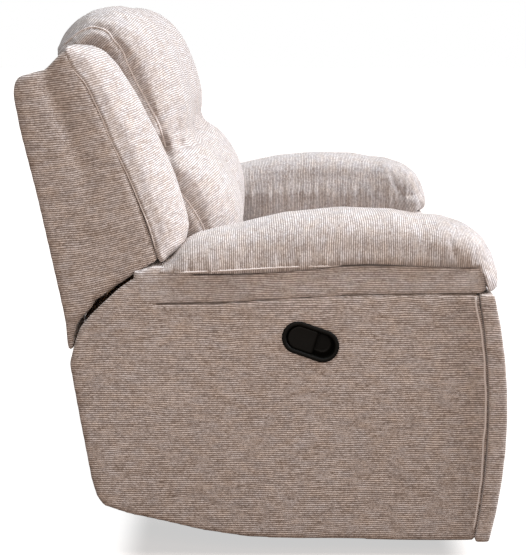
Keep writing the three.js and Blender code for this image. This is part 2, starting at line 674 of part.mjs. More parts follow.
// The cushion's side profile: shares of its depth from its front, and of its thickness from its base
const SEAT_CUSHION_SHARES = [[0.03, 0.03], [0.30, 0.0], [0.70, 0.0], [0.985, 0.02], [1.0, 0.20], [1.0, 0.62],
  [0.97, 0.86], [0.80, 0.965], [0.52, 1.0], [0.24, 0.99], [0.08, 0.90], [0.015, 0.70], [0.0, 0.42],
  [0.01, 0.14]];

function seatCushion(x) {
  const base = SEAT_TOP - CUSHION_THICKNESS;
  const profile = SEAT_CUSHION_SHARES.map(([a, b]) => [
    CUSHION_FRONT + a * CUSHION_DEPTH,
    base + b * CUSHION_THICKNESS,
  ]);
  const middle = [CUSHION_FRONT + CUSHION_DEPTH / 2, base];
  return cushion(profile, middle, x - CUSHION_WIDTH / 2, x + CUSHION_WIDTH / 2, CUSHION_SIDE_SHARE);
}

// The padded rail below the cushion's front, which rounds back towards its base
function seatFrontRail(x) {
  const rear = SEAT_FRAME_FRONT - FIT;
  const front = rear - FRONT_RAIL_DEPTH;
  const round = FRONT_RAIL_DEPTH / 3;
  const outline = [[rear, FRONT_RAIL_BASE], [rear, FRONT_RAIL_TOP], [front + round, FRONT_RAIL_TOP],
    [front, FRONT_RAIL_TOP - round], [front, FRONT_RAIL_BASE + round], [front + round, FRONT_RAIL_BASE]];
  return across(outline, x - FRONT_RAIL_WIDTH / 2, x + FRONT_RAIL_WIDTH / 2);
}

const PLATE_OUT = SEAT_FRAME_WIDTH / 2;
const layerOut = (layer) => PLATE_OUT + PLATE_THICKNESS + LAYER_CLEARANCE + LAYER_PITCH * (layer - 1);

// The plate's outline, and its round cut-outs as place along, place up and radius, as shares of its length
// and rise
const PLATE_SHARES = [[0.09, 0.0], [1.0, 0.0], [1.0, 0.62], [0.80, 0.80], [0.66, 1.0], [0.03, 1.0],
  [0.0, 0.94], [0.0, 0.84], [0.06, 0.74]];
const PLATE_HOLE_SHARES = [[0.30, 0.30, 0.13], [0.66, 0.34, 0.15], [0.32, 0.80, 0.08]];

function sidePlate(x, side) {
  const railTop = GLIDE_RISE + 2 * TUBE;
  const base = railTop + FIT;
  const rise = PLATE_TOP - base;
  const length = PLATE_REAR - PLATE_FRONT;
  const outline = PLATE_SHARES.map(([a, b]) => [PLATE_FRONT + a * length, base + b * rise]);
  const holes = PLATE_HOLE_SHARES
    .map(([a, b, size]) => roundHole([PLATE_FRONT + a * length, base + b * rise], size * rise));
  const inner = x + side * PLATE_OUT;
  const outer = x + side * (PLATE_OUT + PLATE_THICKNESS);
  const flangeIn = x + side * (POST_OUT + FIT);
  const web = across(outline, inner, outer, holes);
  const flange = block(flangeIn, outer, PLATE_FRONT + PLATE_FLANGE_SHARE * length, PLATE_REAR, base,
    base + PLATE_THICKNESS);
  const pin = rod(PIN_RADIUS, x + side * (PLATE_OUT + PLATE_THICKNESS / 2),
    x + side * (layerOut(1) + LINK_THICKNESS), LINK_PIVOT_Y, LINK_PIVOT_Z);
  return join([web, flange, pin]);
}

// Footrest linkage at rest. Directions point ahead (-Y) and up.

function ahead(degrees) {
  const angle = THREE.MathUtils.degToRad(degrees);
  return [-Math.cos(angle), Math.sin(angle)];
}

const rearWay = ahead(REAR_LINK_STOWED_DEG);
const crossWay = ahead(CROSS_LINK_STOWED_DEG);
const along = (from, way, reach) => [from[0] + way[0] * reach, from[1] + way[1] * reach];
const rearPivot = [LINK_PIVOT_Y, LINK_PIVOT_Z];
const crossPivot = along(rearPivot, rearWay, LINK_LENGTH / 2);
const rearLinkEnd = along(rearPivot, rearWay, LINK_LENGTH);
const crossLinkEnd = along(crossPivot, crossWay, LINK_LENGTH / 2);
const crossLinkTail = along(crossPivot, crossWay, -LINK_LENGTH / 2);
const shortLinkEnd = along(rearLinkEnd, crossWay, LINK_LENGTH / 2);
const frontLinkEnd = along(crossLinkEnd, rearWay, LINK_LENGTH);
const crossStay = along(crossPivot, crossWay, -LINK_LENGTH / 4);
const shortStay = along(rearLinkEnd, crossWay, LINK_LENGTH / 4);

// A flat bar with round ends from one point to another
function barOutline(from, to, width) {
  const angle = Math.atan2(to[1] - from[1], to[0] - from[0]);
  const outline = [];
  [[to, -Math.PI / 2], [from, Math.PI / 2]].forEach(([end, start]) => {
    for (let k = 0; k <= ROUND_SIDES / 2; k += 1) {
      const turn = angle + start + (2 * Math.PI * k) / ROUND_SIDES;
      outline.push([end[0] + (width / 2) * Math.cos(turn), end[1] + (width / 2) * Math.sin(turn)]);
    }
  });
  return outline;
}

const pinHole = (place) => roundHole(place, PIN_RADIUS + PIN_PLAY);

// Both sides' copies of one link, welded to a stay across the seat at one place.
// pins: [place, layer that the pin starts in, layer that it ends in]
function linkSet(x, layer, from, to, stay, holes, pins) {
  const near = layerOut(layer);
  const reach = near + LINK_THICKNESS / 2;
  const pieces = [rod(PIN_RADIUS, x - reach, x + reach, stay[0], stay[1])];
  [-1, 1].forEach((side) => {
    pieces.push(across(barOutline(from, to, LINK_WIDTH), x + side * near, x + side * (near + LINK_THICKNESS),
      holes.map(pinHole)));
    pins.forEach(([place, start, end]) => {
      const way = Math.sign(end - start);
      const middle = LINK_THICKNESS / 2;
      pieces.push(rod(PIN_RADIUS, x + side * (layerOut(start) + middle),
        x + side * (layerOut(end) + middle + way * (middle + FIT)), place[0], place[1]));
    });
  });
  return join(pieces);
}

function ottomanBrackets(x) {
  const board = OTTOMAN_BACK_Y + FIT;
  const outline = [[board, frontLinkEnd[1] - LINK_WIDTH / 2], [board, frontLinkEnd[1] + OTTOMAN_RISE / 3],
    [board + PLATE_THICKNESS, frontLinkEnd[1] + OTTOMAN_RISE / 3]];
  for (let k = 0; k <= ROUND_SIDES / 2; k += 1) {
    const turn = Math.PI / 2 - (2 * Math.PI * k) / ROUND_SIDES;
    outline.push([frontLinkEnd[0] + (LINK_WIDTH / 2) * Math.cos(turn),
      frontLinkEnd[1] + (LINK_WIDTH / 2) * Math.sin(turn)]);
  }
  const near = layerOut(3);
  const ears = [-1, 1].map((side) => across(outline, x + side * near, x + side * (near + LINK_THICKNESS),
    [pinHole(frontLinkEnd)]));
  const low = frontLinkEnd[1] + OTTOMAN_RISE / 6;
  const strap = block(x - near - LINK_THICKNESS / 2, x + near + LINK_THICKNESS / 2, board,
    board + LINK_THICKNESS, low, low + LINK_WIDTH);
  return join([...ears, strap]);
}

const OTTOMAN_BACK_Y = frontLinkEnd[0] - BOARD_STANDOFF;

// The board behind the pad, which folds in between the front links
function ottomanBoard(x) {
  const half = layerOut(1) - BOARD_LINK_GAP;
  const margin = BOARD_THICKNESS / 2;
  return block(x - half, x + half, OTTOMAN_BACK_Y - BOARD_THICKNESS, OTTOMAN_BACK_Y,
    OTTOMAN_BASE + margin, OTTOMAN_BASE + OTTOMAN_RISE - margin);
}

// The ottoman pad's side profile: shares of its depth from its front, and of its rise from its base
const OTTOMAN_PAD_SHARES = [[1.0, 0.01], [0.62, 0.0], [0.28, 0.03], [0.08, 0.12], [0.0, 0.32], [0.0, 0.68],
  [0.08, 0.88], [0.28, 0.97], [0.62, 1.0], [1.0, 0.99]];

function ottomanPad(x) {
  const front = OTTOMAN_BACK_Y - BOARD_THICKNESS - FIT - OTTOMAN_PAD_DEPTH;
  const profile = OTTOMAN_PAD_SHARES.map(([a, b]) => [front + a * OTTOMAN_PAD_DEPTH,
    OTTOMAN_BASE + b * OTTOMAN_RISE]);
  const middle = [front + OTTOMAN_PAD_DEPTH, OTTOMAN_BASE + OTTOMAN_RISE / 2];
  return cushion(profile, middle, x - OTTOMAN_WIDTH / 2, x + OTTOMAN_WIDTH / 2, OTTOMAN_SIDE_SHARE);
}

// Backs

const backPoint = ([a, b]) => [BACK_FRONT + a * BACK_DEPTH, BACK_BASE + b * BACK_RISE];
const frameRearY = (z) => PIVOT_Y + FRAME_DEPTH / 2 + BACK_SLOPE * (z - PIVOT_Z);
const frameFrontY = (z) => frameRearY(z) - FRAME_DEPTH;

const REAR_EDGE_SHARES = [[0.782, 0.0], [0.791, 0.048], [0.810, 0.116], [0.847, 0.238], [0.906, 0.432],
  [0.972, 0.622], [1.0, 0.732], [0.995, 0.760], [0.979, 0.784]];
const BACK_TOP_SHARES = [0.894, BACK_TOP_SHARE];
const GAP_EDGE_SHARES = [[0.749, 0.032], [0.711, 0.062], [0.680, 0.086]];
const SKIRT_SHARE = [0.753, 0.0];
const WING_EDGE_SHARES = [[0.627, 0.122], [0.582, 0.148], [0.535, 0.168], [0.458, 0.202], [0.373, 0.235]];
const PIPING_SHARES = [[0.373, 0.235], [0.441, 0.381], [0.545, 0.562], [0.662, 0.740], [0.723, 0.816],
  [0.768, 0.868]];
const BOLSTER_SHARES = [[0.347, 0.229], [0.256, 0.322], [0.261, 0.362], [0.331, 0.500], [0.453, 0.673],
  [0.585, 0.825], [0.650, 0.863], [0.768, 0.880]];
const HEAD_SHARES = [[0.913, 0.846], [0.878, 0.898], [0.812, 0.944], [0.730, 0.983], [0.617, 1.0],
  [0.507, 0.983], [0.425, 0.951], [0.352, 0.902], [0.291, 0.837], [0.246, 0.771], [0.214, 0.705],
  [0.195, 0.649], [0.195, 0.590], [0.215, 0.545]];
const LUMBAR_SHARES = [[0.215, 0.532], [0.150, 0.503], [0.092, 0.457], [0.038, 0.389], [0.009, 0.329],
  [0.0, 0.290], [0.004, 0.200], [0.015, 0.100], [0.028, 0.040], [0.075, 0.006]];

function rearPanel(x0, x1) {
  const rear = REAR_EDGE_SHARES.map(backPoint);
  const top = backPoint(BACK_TOP_SHARES);
  const crest = top[1] + FIT;
  const low = GAP_EDGE_SHARES.map(backPoint);
  const foot = low[low.length - 1][1] + CUT_OVERRUN;
  const outline = [...rear, top, [frameRearY(crest) + FIT, crest], [frameRearY(foot) + FIT, foot],
    ...low.reverse(), backPoint(SKIRT_SHARE)];
  const [hemY, hemZ] = rear[0];
  const fall = BACK_SLOPE * (hemZ - SKIRT_BASE) / 2;
  const overlap = 2 * SKIRT_THICKNESS;
  const skirt = [[hemY, hemZ + overlap], [hemY - FIT, hemZ], [hemY - fall, SKIRT_BASE],
    [hemY - fall - SKIRT_THICKNESS, SKIRT_BASE], [hemY - FIT - SKIRT_THICKNESS, hemZ],
    [hemY - SKIRT_THICKNESS, hemZ + overlap]];
  const side = Math.sign(x0) * (ARM_INNER - SKIRT_SIDE_GAP);
  return join([across(outline, x0, x1), across(skirt, side, x1)]);
}

function wing(x0, x1) {
  const bottom = WING_EDGE_SHARES.map(backPoint);
  const front = smooth(PIPING_SHARES.map(backPoint), CURVE_STEPS);
  const crest = backPoint(BACK_TOP_SHARES)[1];
  const foot = bottom[0][1] - CUT_OVERRUN;
  const rearLow = [frameRearY(foot), foot];
  const rearHigh = [frameRearY(crest), crest];
  return across([rearLow, ...bottom.slice(0, -1), ...front, rearHigh], x0, x1);
}

// The wing pad: rings across the wing, each standing on the piping line and swelling to the front line
function wingBolster(x0, x1) {
  const middle = (x0 + x1) / 2;
  const half = (x1 - x0) / 2;
  const rear = smooth(PIPING_SHARES.map(backPoint), BOLSTER_STEPS);
  const front = smooth(BOLSTER_SHARES.map(backPoint), BOLSTER_STEPS);
  const rings = rear.map(([ry, rz], k) => {
    const [fy, fz] = front[k];
    const reach = Math.hypot(fy - ry, fz - rz);
    const way = [(fy - ry) / reach, (fz - rz) / reach];
    const start = [ry + way[0] * 2 * FIT, rz + way[1] * 2 * FIT];
    const ring = [];
    for (let j = 0; j <= PAD_SIDES; j += 1) {
      const angle = (Math.PI * j) / PAD_SIDES;
      const out = Math.sign(Math.cos(angle)) * Math.abs(Math.cos(angle)) ** BOLSTER_WIDTH_FULLNESS;
      const depth = reach * Math.sin(angle) ** BOLSTER_DEPTH_FULLNESS;
      ring.push(new THREE.Vector3(middle + half * out, start[0] + way[0] * depth, start[1] + way[1] * depth));
    }
    return ring;
  });
  return loft(rings);
}

function headCushion(x0, x1) {
  const front = HEAD_SHARES.map(backPoint);
  const crest = backPoint(BACK_TOP_SHARES)[1] + CUT_OVERRUN;
  const low = front[front.length - 1][1];
  const rear = [[frameFrontY(low) - FIT, low], [frameFrontY(FRAME_TOP) - FIT, FRAME_TOP],
    [frameFrontY(crest) - FIT, crest + CUT_OVERRUN], [frameRearY(crest), crest + 2 * CUT_OVERRUN]];
  const centreZ = (low + FRAME_TOP) / 2 + CUT_OVERRUN;
  return cushion([...front, ...rear], [frameFrontY(centreZ) - FIT, centreZ], x0, x1, HEAD_SIDE_SHARE);
}

function lumbarCushion(x0, x1) {
  const front = LUMBAR_SHARES.map(backPoint);
  const high = front[0][1];
  const low = front[front.length - 1][1];
  const rear = [[frameFrontY(low) - FIT, low], [frameFrontY(high) - FIT, high]];
  const centreZ = (low + high) / 2;
  return cushion([...front, ...rear], [frameFrontY(centreZ) - FIT, centreZ], x0, x1, LUMBAR_SIDE_SHARE);
}

function backFrame(x) {
  const pieces = [];
  const half = FRAME_DEPTH / 2;
  const outline = [];
  for (let k = 0; k <= ROUND_SIDES / 2; k += 1) {
    const angle = Math.PI + (2 * Math.PI * k) / ROUND_SIDES;
    outline.push([PIVOT_Y + half * Math.cos(angle), PIVOT_Z + half * Math.sin(angle)]);
  }
  outline.push([frameRearY(FRAME_TOP), FRAME_TOP], [frameFrontY(FRAME_TOP), FRAME_TOP]);
  const hole = roundHole([PIVOT_Y, PIVOT_Z], PIVOT_PIN_RADIUS + PIN_PLAY);
  [-1, 1].forEach((side) => {
    const inner = x + side * POST_OUT;
    pieces.push(across(outline, inner, inner + side * POST_WIDTH, [hole]));
  });
  const base = PIVOT_Z + 4 * half;
  const margin = (FRAME_DEPTH - BACK_BOARD_THICKNESS) / 2;
  const board = [[frameFrontY(base) + margin, base], [frameRearY(base) - margin, base],
    [frameRearY(FRAME_TOP) - margin, FRAME_TOP], [frameFrontY(FRAME_TOP) + margin, FRAME_TOP]];
  pieces.push(across(board, x - POST_OUT - CUT_OVERRUN, x + POST_OUT + CUT_OVERRUN));
  const slots = [];
  const slotWidth = POST_OUT * BACK_SLOT_SHARE;
  const slotRise = (FRAME_TOP - base) / BACK_BOARD_ROWS;
  [-1, 1].forEach((side) => [1.5, 3.5, 5.5].forEach((row) => {
    const z = base + slotRise * row;
    const middle = x + (side * POST_OUT) / 2;
    slots.push(block(middle - slotWidth / 2, middle + slotWidth / 2, frameFrontY(z) - slotRise,
      frameRearY(z) + slotRise, z, z + slotRise));
  }));
  return cutFrom(join(pieces), slots);
}

// Assembly

[[-1, 'right'], [1, 'left']].forEach(([s, name]) => {
  add(`arm_side_panel_${name}`, sidePanel(s), 'panelCover');
  add(`arm_core_${name}`, armCore(s), 'wood');
  add(`arm_inner_panel_${name}`, innerPanel(s), 'cover');
  add(`arm_border_${name}`, border(s), 'cover');
  add(`arm_pad_${name}`, armPad(s), 'cover');
  add(`arm_facing_${name}`, facing(s), 'panelCover');
  add(`handle_cup_${name}`, handleCup(s), 'blackPlastic');
  add(`handle_paddle_${name}`, paddle(s), 'blackPlastic');
  add(`release_cable_${name}`, releaseCable(s), 'rubber');

  const x = (s * SEAT_PITCH) / 2;
  add(`seat_frame_${name}`, seatFrame(x), 'wood');
  add(`seat_springs_${name}`, seatSprings(x), 'wire');
  add(`seat_cushion_${name}`, seatCushion(x), 'cover');
  add(`seat_front_rail_${name}`, seatFrontRail(x), 'cover');
  add(`mechanism_plate_outer_${name}`, sidePlate(x, s), 'steel');
  add(`mechanism_plate_inner_${name}`, sidePlate(x, -s), 'steel');
  add(`mechanism_cross_tube_${name}`, rod(CROSS_TUBE_RADIUS, x - PLATE_OUT + FIT, x + PLATE_OUT - FIT,
    CROSS_TUBE_Y, CROSS_TUBE_Z), 'steel');

  add(`footrest_rear_links_${name}`, linkSet(x, 1, rearPivot, rearLinkEnd, rearLinkEnd, [rearPivot],
    [[crossPivot, 1, 2], [rearLinkEnd, 1, 2]]), 'steel');
  add(`footrest_cross_links_${name}`, linkSet(x, 2, crossLinkTail, crossLinkEnd, crossStay, [crossPivot],
    [[crossLinkEnd, 2, 1]]), 'steel');
  add(`footrest_short_links_${name}`, linkSet(x, 2, rearLinkEnd, shortLinkEnd, shortStay, [rearLinkEnd], []),
    'steel');
  add(`footrest_front_links_${name}`, linkSet(x, 1, crossLinkEnd, frontLinkEnd, frontLinkEnd, [crossLinkEnd],
    [[frontLinkEnd, 1, 3]]), 'steel');
  add(`ottoman_brackets_${name}`, ottomanBrackets(x), 'steel');
  add(`ottoman_board_${name}`, ottomanBoard(x), 'wood');
  add(`ottoman_pad_${name}`, ottomanPad(x), 'cover');

  const backOuter = s * (ARM_OUTER - BACK_OUTER_SETBACK);
  const backInner = (s * BACK_SPLIT) / 2;
  const wingInner = s * (ARM_INNER - WING_INNER_GAP);
  add(`back_frame_${name}`, backFrame(x), 'wood');
  add(`back_rear_panel_${name}`, rearPanel(backOuter, backInner), 'panelCover');
  add(`back_wing_${name}`, wing(backOuter, wingInner), 'panelCover');
  add(`wing_bolster_${name}`, wingBolster(backOuter, wingInner), 'cover');
  add(`head_cushion_${name}`, headCushion(wingInner - s * CUT_OVERRUN, backInner), 'cover');
  add(`lumbar_cushion_${name}`, lumbarCushion(wingInner - s * CUT_OVERRUN, backInner), 'cover');
});

add('base_frame', baseFrame(), 'steel');
add('rear_apron', block(-ARM_INNER + FIT, ARM_INNER - FIT, APRON_FRONT, APRON_FRONT + APRON_THICKNESS,
  APRON_BASE, APRON_TOP), 'panelCover');

export default sofa;
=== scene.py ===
import json
import math

import bmesh
import bpy
import numpy as np
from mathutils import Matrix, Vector
from mathutils.bvhtree import BVHTree


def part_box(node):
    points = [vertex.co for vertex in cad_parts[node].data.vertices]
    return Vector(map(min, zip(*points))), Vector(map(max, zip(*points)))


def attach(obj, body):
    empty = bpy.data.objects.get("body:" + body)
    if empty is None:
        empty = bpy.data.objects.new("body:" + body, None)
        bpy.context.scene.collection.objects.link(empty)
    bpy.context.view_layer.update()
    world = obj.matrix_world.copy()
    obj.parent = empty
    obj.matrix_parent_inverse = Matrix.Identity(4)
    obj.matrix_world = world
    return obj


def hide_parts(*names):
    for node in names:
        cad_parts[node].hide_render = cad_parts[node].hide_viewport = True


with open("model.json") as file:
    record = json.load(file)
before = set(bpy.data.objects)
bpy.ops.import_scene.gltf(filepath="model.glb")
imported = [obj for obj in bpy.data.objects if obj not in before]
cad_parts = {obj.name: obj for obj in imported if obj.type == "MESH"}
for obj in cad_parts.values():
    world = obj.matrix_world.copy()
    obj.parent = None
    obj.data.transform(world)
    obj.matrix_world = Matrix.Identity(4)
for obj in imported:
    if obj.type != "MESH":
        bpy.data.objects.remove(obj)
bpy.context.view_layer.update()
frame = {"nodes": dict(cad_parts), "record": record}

# A two seat reclining sofa in striped chenille. Metres, +X is the sitter's left, the front faces -Y.

# The photograph's frame in pixels, and the camera's place and lens in it
PHOTO_WIDTH = 526
PHOTO_FOCAL_PX = 1575.6
SENSOR_WIDTH_MM = 36
CAMERA_PLACE = (-3.6833, 0.015, 1.0266)
CAMERA_PITCH_DEG = 9.2818
CAMERA_YAW_DEG = 0.2871

# The arm's outline from the side: places on it are shares of its depth and rise
ARM_FRONT = -0.432
ARM_DEPTH = 0.8
ARM_BASE = 0.029
PANEL_RISE = 0.485

# The back's outline from the side, with shares like the arm's
BACK_FRONT = 0.041
BACK_DEPTH = 0.426
BACK_BASE = 0.428
BACK_RISE = 0.63

# The middles across of the arms, seats and back cushions
ARM_MIDDLE = 0.65
SEAT_MIDDLE = 0.27
BACK_MIDDLE = 0.2615
BACK_HALF_WIDTH = 0.2575

WELT_RADIUS = 0.0016


def arm_point(along_share, up_share):
    return ARM_FRONT + along_share * ARM_DEPTH, ARM_BASE + up_share * PANEL_RISE


def back_point(along_share, up_share):
    return BACK_FRONT + along_share * BACK_DEPTH, BACK_BASE + up_share * BACK_RISE


# Materials

# The cloth's rows, and the dashes and longer streaks in them
STRIPE_PITCH = 0.0041
DASH_LENGTH = 0.0065
STREAK_LENGTH = 0.03
DASH_DETAIL = 2.0
STREAK_DETAIL = 1.0
DASH_ROW_STEP = 7.31
STREAK_ROW_STEP = 5.17
DASH_SHARE = 0.62
DASH_CONTRAST = 2.3
DASH_OFFSET = -0.65
DASH_ROUNDING = 0.2
DARK_DASH_HEIGHT = 0.3

# The cloth's noises: scale across the rows, scale along them, and detail
SWAY_NOISE = (12.0, 9.0, 2.0)
FUZZ_NOISE = (450.0, 280.0, 2.0)
MOTTLE_NOISE = (22.0, 6.0, 1.0)
DYE_NOISE = (60.0, 35.0, 2.0)
SWAY_WIDTH = 0.012

# What rows, fuzz and mottling add to the yarn's height, and the heights of its darkest and lightest colour
ROW_WEIGHT = 0.95
FUZZ_WEIGHT = 0.50
MOTTLE_WEIGHT = 0.10
HEIGHT_OFFSET = -0.28
DARK_HEIGHT = 0.17
LIGHT_HEIGHT = 0.76

PANEL_DARK_YARN = (0.202, 0.148, 0.118, 1)
PANEL_LIGHT_YARN = (0.765, 0.660, 0.600, 1)
CUSHION_DARK_YARN = (0.280, 0.223, 0.195, 1)
CUSHION_LIGHT_YARN = (0.77, 0.692, 0.650, 1)
# The pale colour of the welts; on the arm side panel's rolled front edge it is a painted highlight
THREAD_AND_HIGHLIGHT_COLOUR = (0.78, 0.69, 0.64, 1)
WARM_DYE = (1.0, 0.93, 0.84, 1)
COOL_DYE = (0.96, 1.03, 1.12, 1)
CLOTH_SURFACE = {
    "Roughness": 0.92,
    "Specular IOR Level": 0.12,
    "Sheen Weight": 0.3,
    "Sheen Roughness": 0.5,
    "Sheen Tint": (1.0, 0.97, 0.95, 1.0),
}
CLOTH_BUMP = {"Strength": 0.5, "Distance": 0.0012}

PLASTIC_COLOUR = (0.0045, 0.0040, 0.0032)
PLYWOOD_COLOUR = (0.46, 0.30, 0.16)
STEEL_COLOUR = (0.02, 0.02, 0.021)
WIRE_COLOUR = (0.42, 0.42, 0.42)
SLEEVE_COLOUR = (0.015, 0.015, 0.015)
GRAIN_DETAIL = 6.0
GRAIN_DARK_AT = 0.3
GRAIN_LIGHT_AT = 0.7
GLOSS_SPREAD = 0.08
GRAIN_BUMP = {"Strength": 0.4, "Distance": 0.0003}


def new_material(name):
    material = bpy.data.materials.new(name)
    material.use_nodes = True
    tree = material.node_tree
    return material, tree, tree.nodes["Principled BSDF"]


def add_node(tree, kind, **settings):
    node = tree.nodes.new(kind)
    for key, value in settings.items():
        setattr(node, key, value)
    return node


def set_values(node, values):
    for key, value in values.items():
        node.inputs[key].default_value = value


def add_math(tree, operation, *values):
    """The result of a math node on numbers and on other nodes' results."""
    node = add_node(tree, "ShaderNodeMath", operation=operation)
    for socket, value in zip(node.inputs, values):
        if isinstance(value, (int, float)):
            socket.default_value = value
        else:
            tree.links.new(value, socket)
    return node.outputs[0]


def add_noise(tree, place, detail):
    texture = add_node(tree, "ShaderNodeTexNoise")
    set_values(texture, {"Scale": 1.0, "Detail": detail})
    tree.links.new(place, texture.inputs["Vector"])
    return texture.outputs["Fac"]


def add_ramp(tree, factor, stops):
    """The colour at the factor, between two stops of position and colour."""
    ramp = add_node(tree, "ShaderNodeValToRGB")
    for element, (position, colour) in zip(ramp.color_ramp.elements, stops):
        element.position = position
        element.color = colour
    tree.links.new(factor, ramp.inputs["Fac"])
    return ramp.outputs["Color"]


def add_mix(tree, factor, first, second, blend_type="MIX"):
    """A mix of two colours, each a value or another node's result."""
    node = add_node(tree, "ShaderNodeMix", data_type="RGBA", blend_type=blend_type)
    for key, value in (("Factor", factor), ("A", first), ("B", second)):
        if isinstance(value, (float, tuple)):
            node.inputs[key].default_value = value
        else:
            tree.links.new(value, node.inputs[key])
    return node.outputs["Result"]


def add_bump(tree, shader, height, values):
    bump = add_node(tree, "ShaderNodeBump")
    set_values(bump, values)
    tree.links.new(height, bump.inputs["Height"])
    tree.links.new(bump.outputs["Normal"], shader.inputs["Normal"])


def chenille(name, dark, light):
    """Striped chenille: rows of light dashes on a darker ground.

    The weave attribute runs across the rows, then along them. Another attribute marks the welts, which take a
    pale colour; on the arm side panel's rolled front edge that colour is a painted highlight.
    """
    material, tree, shader = new_material(name)
    link = tree.links.new
    weave = add_node(tree, "ShaderNodeAttribute", attribute_name="weave")
    marked = add_node(tree, "ShaderNodeAttribute", attribute_name="thread_and_highlight")
    split = add_node(tree, "ShaderNodeSeparateXYZ")
    link(weave.outputs["Vector"], split.inputs["Vector"])
    along = split.outputs["Y"]

    def calculate(operation, *values):
        return add_math(tree, operation, *values)

    def noise(x, y, detail):
        place = add_node(tree, "ShaderNodeCombineXYZ")
        for key, value in (("X", x), ("Y", y), ("Z", split.outputs["Z"])):
            link(value, place.inputs[key])
        return add_noise(tree, place.outputs["Vector"], detail)

    def spread_noise(across, across_scale, along_scale, detail):
        x = calculate("MULTIPLY", across, across_scale)
        return noise(x, calculate("MULTIPLY", along, along_scale), detail)

    def row_noise(row, row_step, length, detail):
        """Noise that changes along each row over the length, and differs from row to row."""
        return noise(calculate("MULTIPLY", row, row_step), calculate("DIVIDE", along, length), detail)

    sway = spread_noise(split.outputs["X"], *SWAY_NOISE)
    across = calculate("ADD", split.outputs["X"], calculate("MULTIPLY", sway, SWAY_WIDTH))
    rows = calculate("DIVIDE", across, STRIPE_PITCH)
    row = calculate("FLOOR", rows)
    profile = calculate("SINE", calculate("MULTIPLY", calculate("FRACT", rows), math.pi))
    dashes = row_noise(row, DASH_ROW_STEP, DASH_LENGTH, DASH_DETAIL)
    streaks = row_noise(row, STREAK_ROW_STEP, STREAK_LENGTH, STREAK_DETAIL)
    lit = calculate("MULTIPLY_ADD", dashes, DASH_SHARE, calculate("MULTIPLY", streaks, 1 - DASH_SHARE))
    lit = calculate("MAXIMUM", calculate("MULTIPLY_ADD", lit, DASH_CONTRAST, DASH_OFFSET), 0.0)
    lit = calculate("SMOOTH_MIN", lit, 1.0, DASH_ROUNDING)
    lit = calculate("MULTIPLY_ADD", lit, 1 - DARK_DASH_HEIGHT, DARK_DASH_HEIGHT)
    height = calculate("MULTIPLY_ADD", calculate("MULTIPLY", profile, lit), ROW_WEIGHT, HEIGHT_OFFSET)
    height = calculate("MULTIPLY_ADD", spread_noise(across, *FUZZ_NOISE), FUZZ_WEIGHT, height)
    height = calculate("MULTIPLY_ADD", spread_noise(across, *MOTTLE_NOISE), MOTTLE_WEIGHT, height)
    yarn = add_ramp(tree, height, ((DARK_HEIGHT, dark), (LIGHT_HEIGHT, light)))
    dye = add_mix(tree, spread_noise(across, *DYE_NOISE), WARM_DYE, COOL_DYE)
    dyed = add_mix(tree, 1.0, yarn, dye, blend_type="MULTIPLY")
    # Marked welts take the pale colour, which on the arm side panel's rolled front edge is a painted
    # highlight
    link(add_mix(tree, marked.outputs["Fac"], dyed, THREAD_AND_HIGHLIGHT_COLOUR), shader.inputs["Base Color"])
    set_values(shader, CLOTH_SURFACE)
    add_bump(tree, shader, height, CLOTH_BUMP)
    return material


def solid_finish(name, colour, roughness, grain, metallic=0.0, vary=0.12, shine=0.5):
    """A plain finish with a fine grain in its colour, gloss and surface."""
    material, tree, shader = new_material(name)
    link = tree.links.new
    place = add_node(tree, "ShaderNodeTexCoord")
    mapping = add_node(tree, "ShaderNodeMapping")
    mapping.inputs["Scale"].default_value = grain
    link(place.outputs["Object"], mapping.inputs["Vector"])
    texture = add_noise(tree, mapping.outputs["Vector"], GRAIN_DETAIL)
    darker = (*[c * (1 - vary) for c in colour], 1)
    lighter = (*[c * (1 + vary) for c in colour], 1)
    shade = add_ramp(tree, texture, ((GRAIN_DARK_AT, darker), (GRAIN_LIGHT_AT, lighter)))
    link(shade, shader.inputs["Base Color"])
    gloss = add_node(tree, "ShaderNodeMapRange")
    set_values(gloss, {"To Min": roughness - GLOSS_SPREAD, "To Max": roughness + GLOSS_SPREAD})
    link(texture, gloss.inputs["Value"])
    link(gloss.outputs["Result"], shader.inputs["Roughness"])
    set_values(shader, {"Metallic": metallic, "Specular IOR Level": shine})
    add_bump(tree, shader, texture, GRAIN_BUMP)
    return material


cushion_cloth = chenille("cushion_chenille", CUSHION_DARK_YARN, CUSHION_LIGHT_YARN)
panel_cloth = chenille("panel_chenille", PANEL_DARK_YARN, PANEL_LIGHT_YARN)
black_plastic = solid_finish("black_plastic", PLASTIC_COLOUR, 0.5, grain=(600, 600, 600), shine=0.12)
plywood = solid_finish("plywood", PLYWOOD_COLOUR, 0.7, grain=(6, 6, 90), vary=0.3)
black_steel = solid_finish("black_steel", STEEL_COLOUR, 0.42, grain=(150, 150, 150), metallic=0.2)
spring_wire = solid_finish("spring_wire", WIRE_COLOUR, 0.3, grain=(300, 300, 300), metallic=0.95)
cable_sleeve = solid_finish("cable_sleeve", SLEEVE_COLOUR, 0.6, grain=(500, 500, 500))

# The finishes by slot: of the covers, and of the pieces that keep their CAD shape
COVER_FINISHES = {
    "cushion_chenille": cushion_cloth,
    "panel_chenille": panel_cloth,
    "black_plastic": black_plastic,
}
CARRIED_FINISHES = {
    "plywood": plywood,
    "black_steel": black_steel,
    "spring_wire": spring_wire,
    "cable_sleeve": cable_sleeve,
}


# Mesh helpers

def body_of_node(node):
    for body, nodes in frame["record"]["behaviour"]["bodies"].items():
        if node in nodes:
            return body
    return "root"


def slot_of_node(node):
    for part in frame["record"]["subparts"]:
        if part["node"] == node:
            return part["material_slot"]
    return None


def new_object(name, data):
    thing = bpy.data.objects.new(name, data)
    bpy.context.scene.collection.objects.link(thing)
    return thing


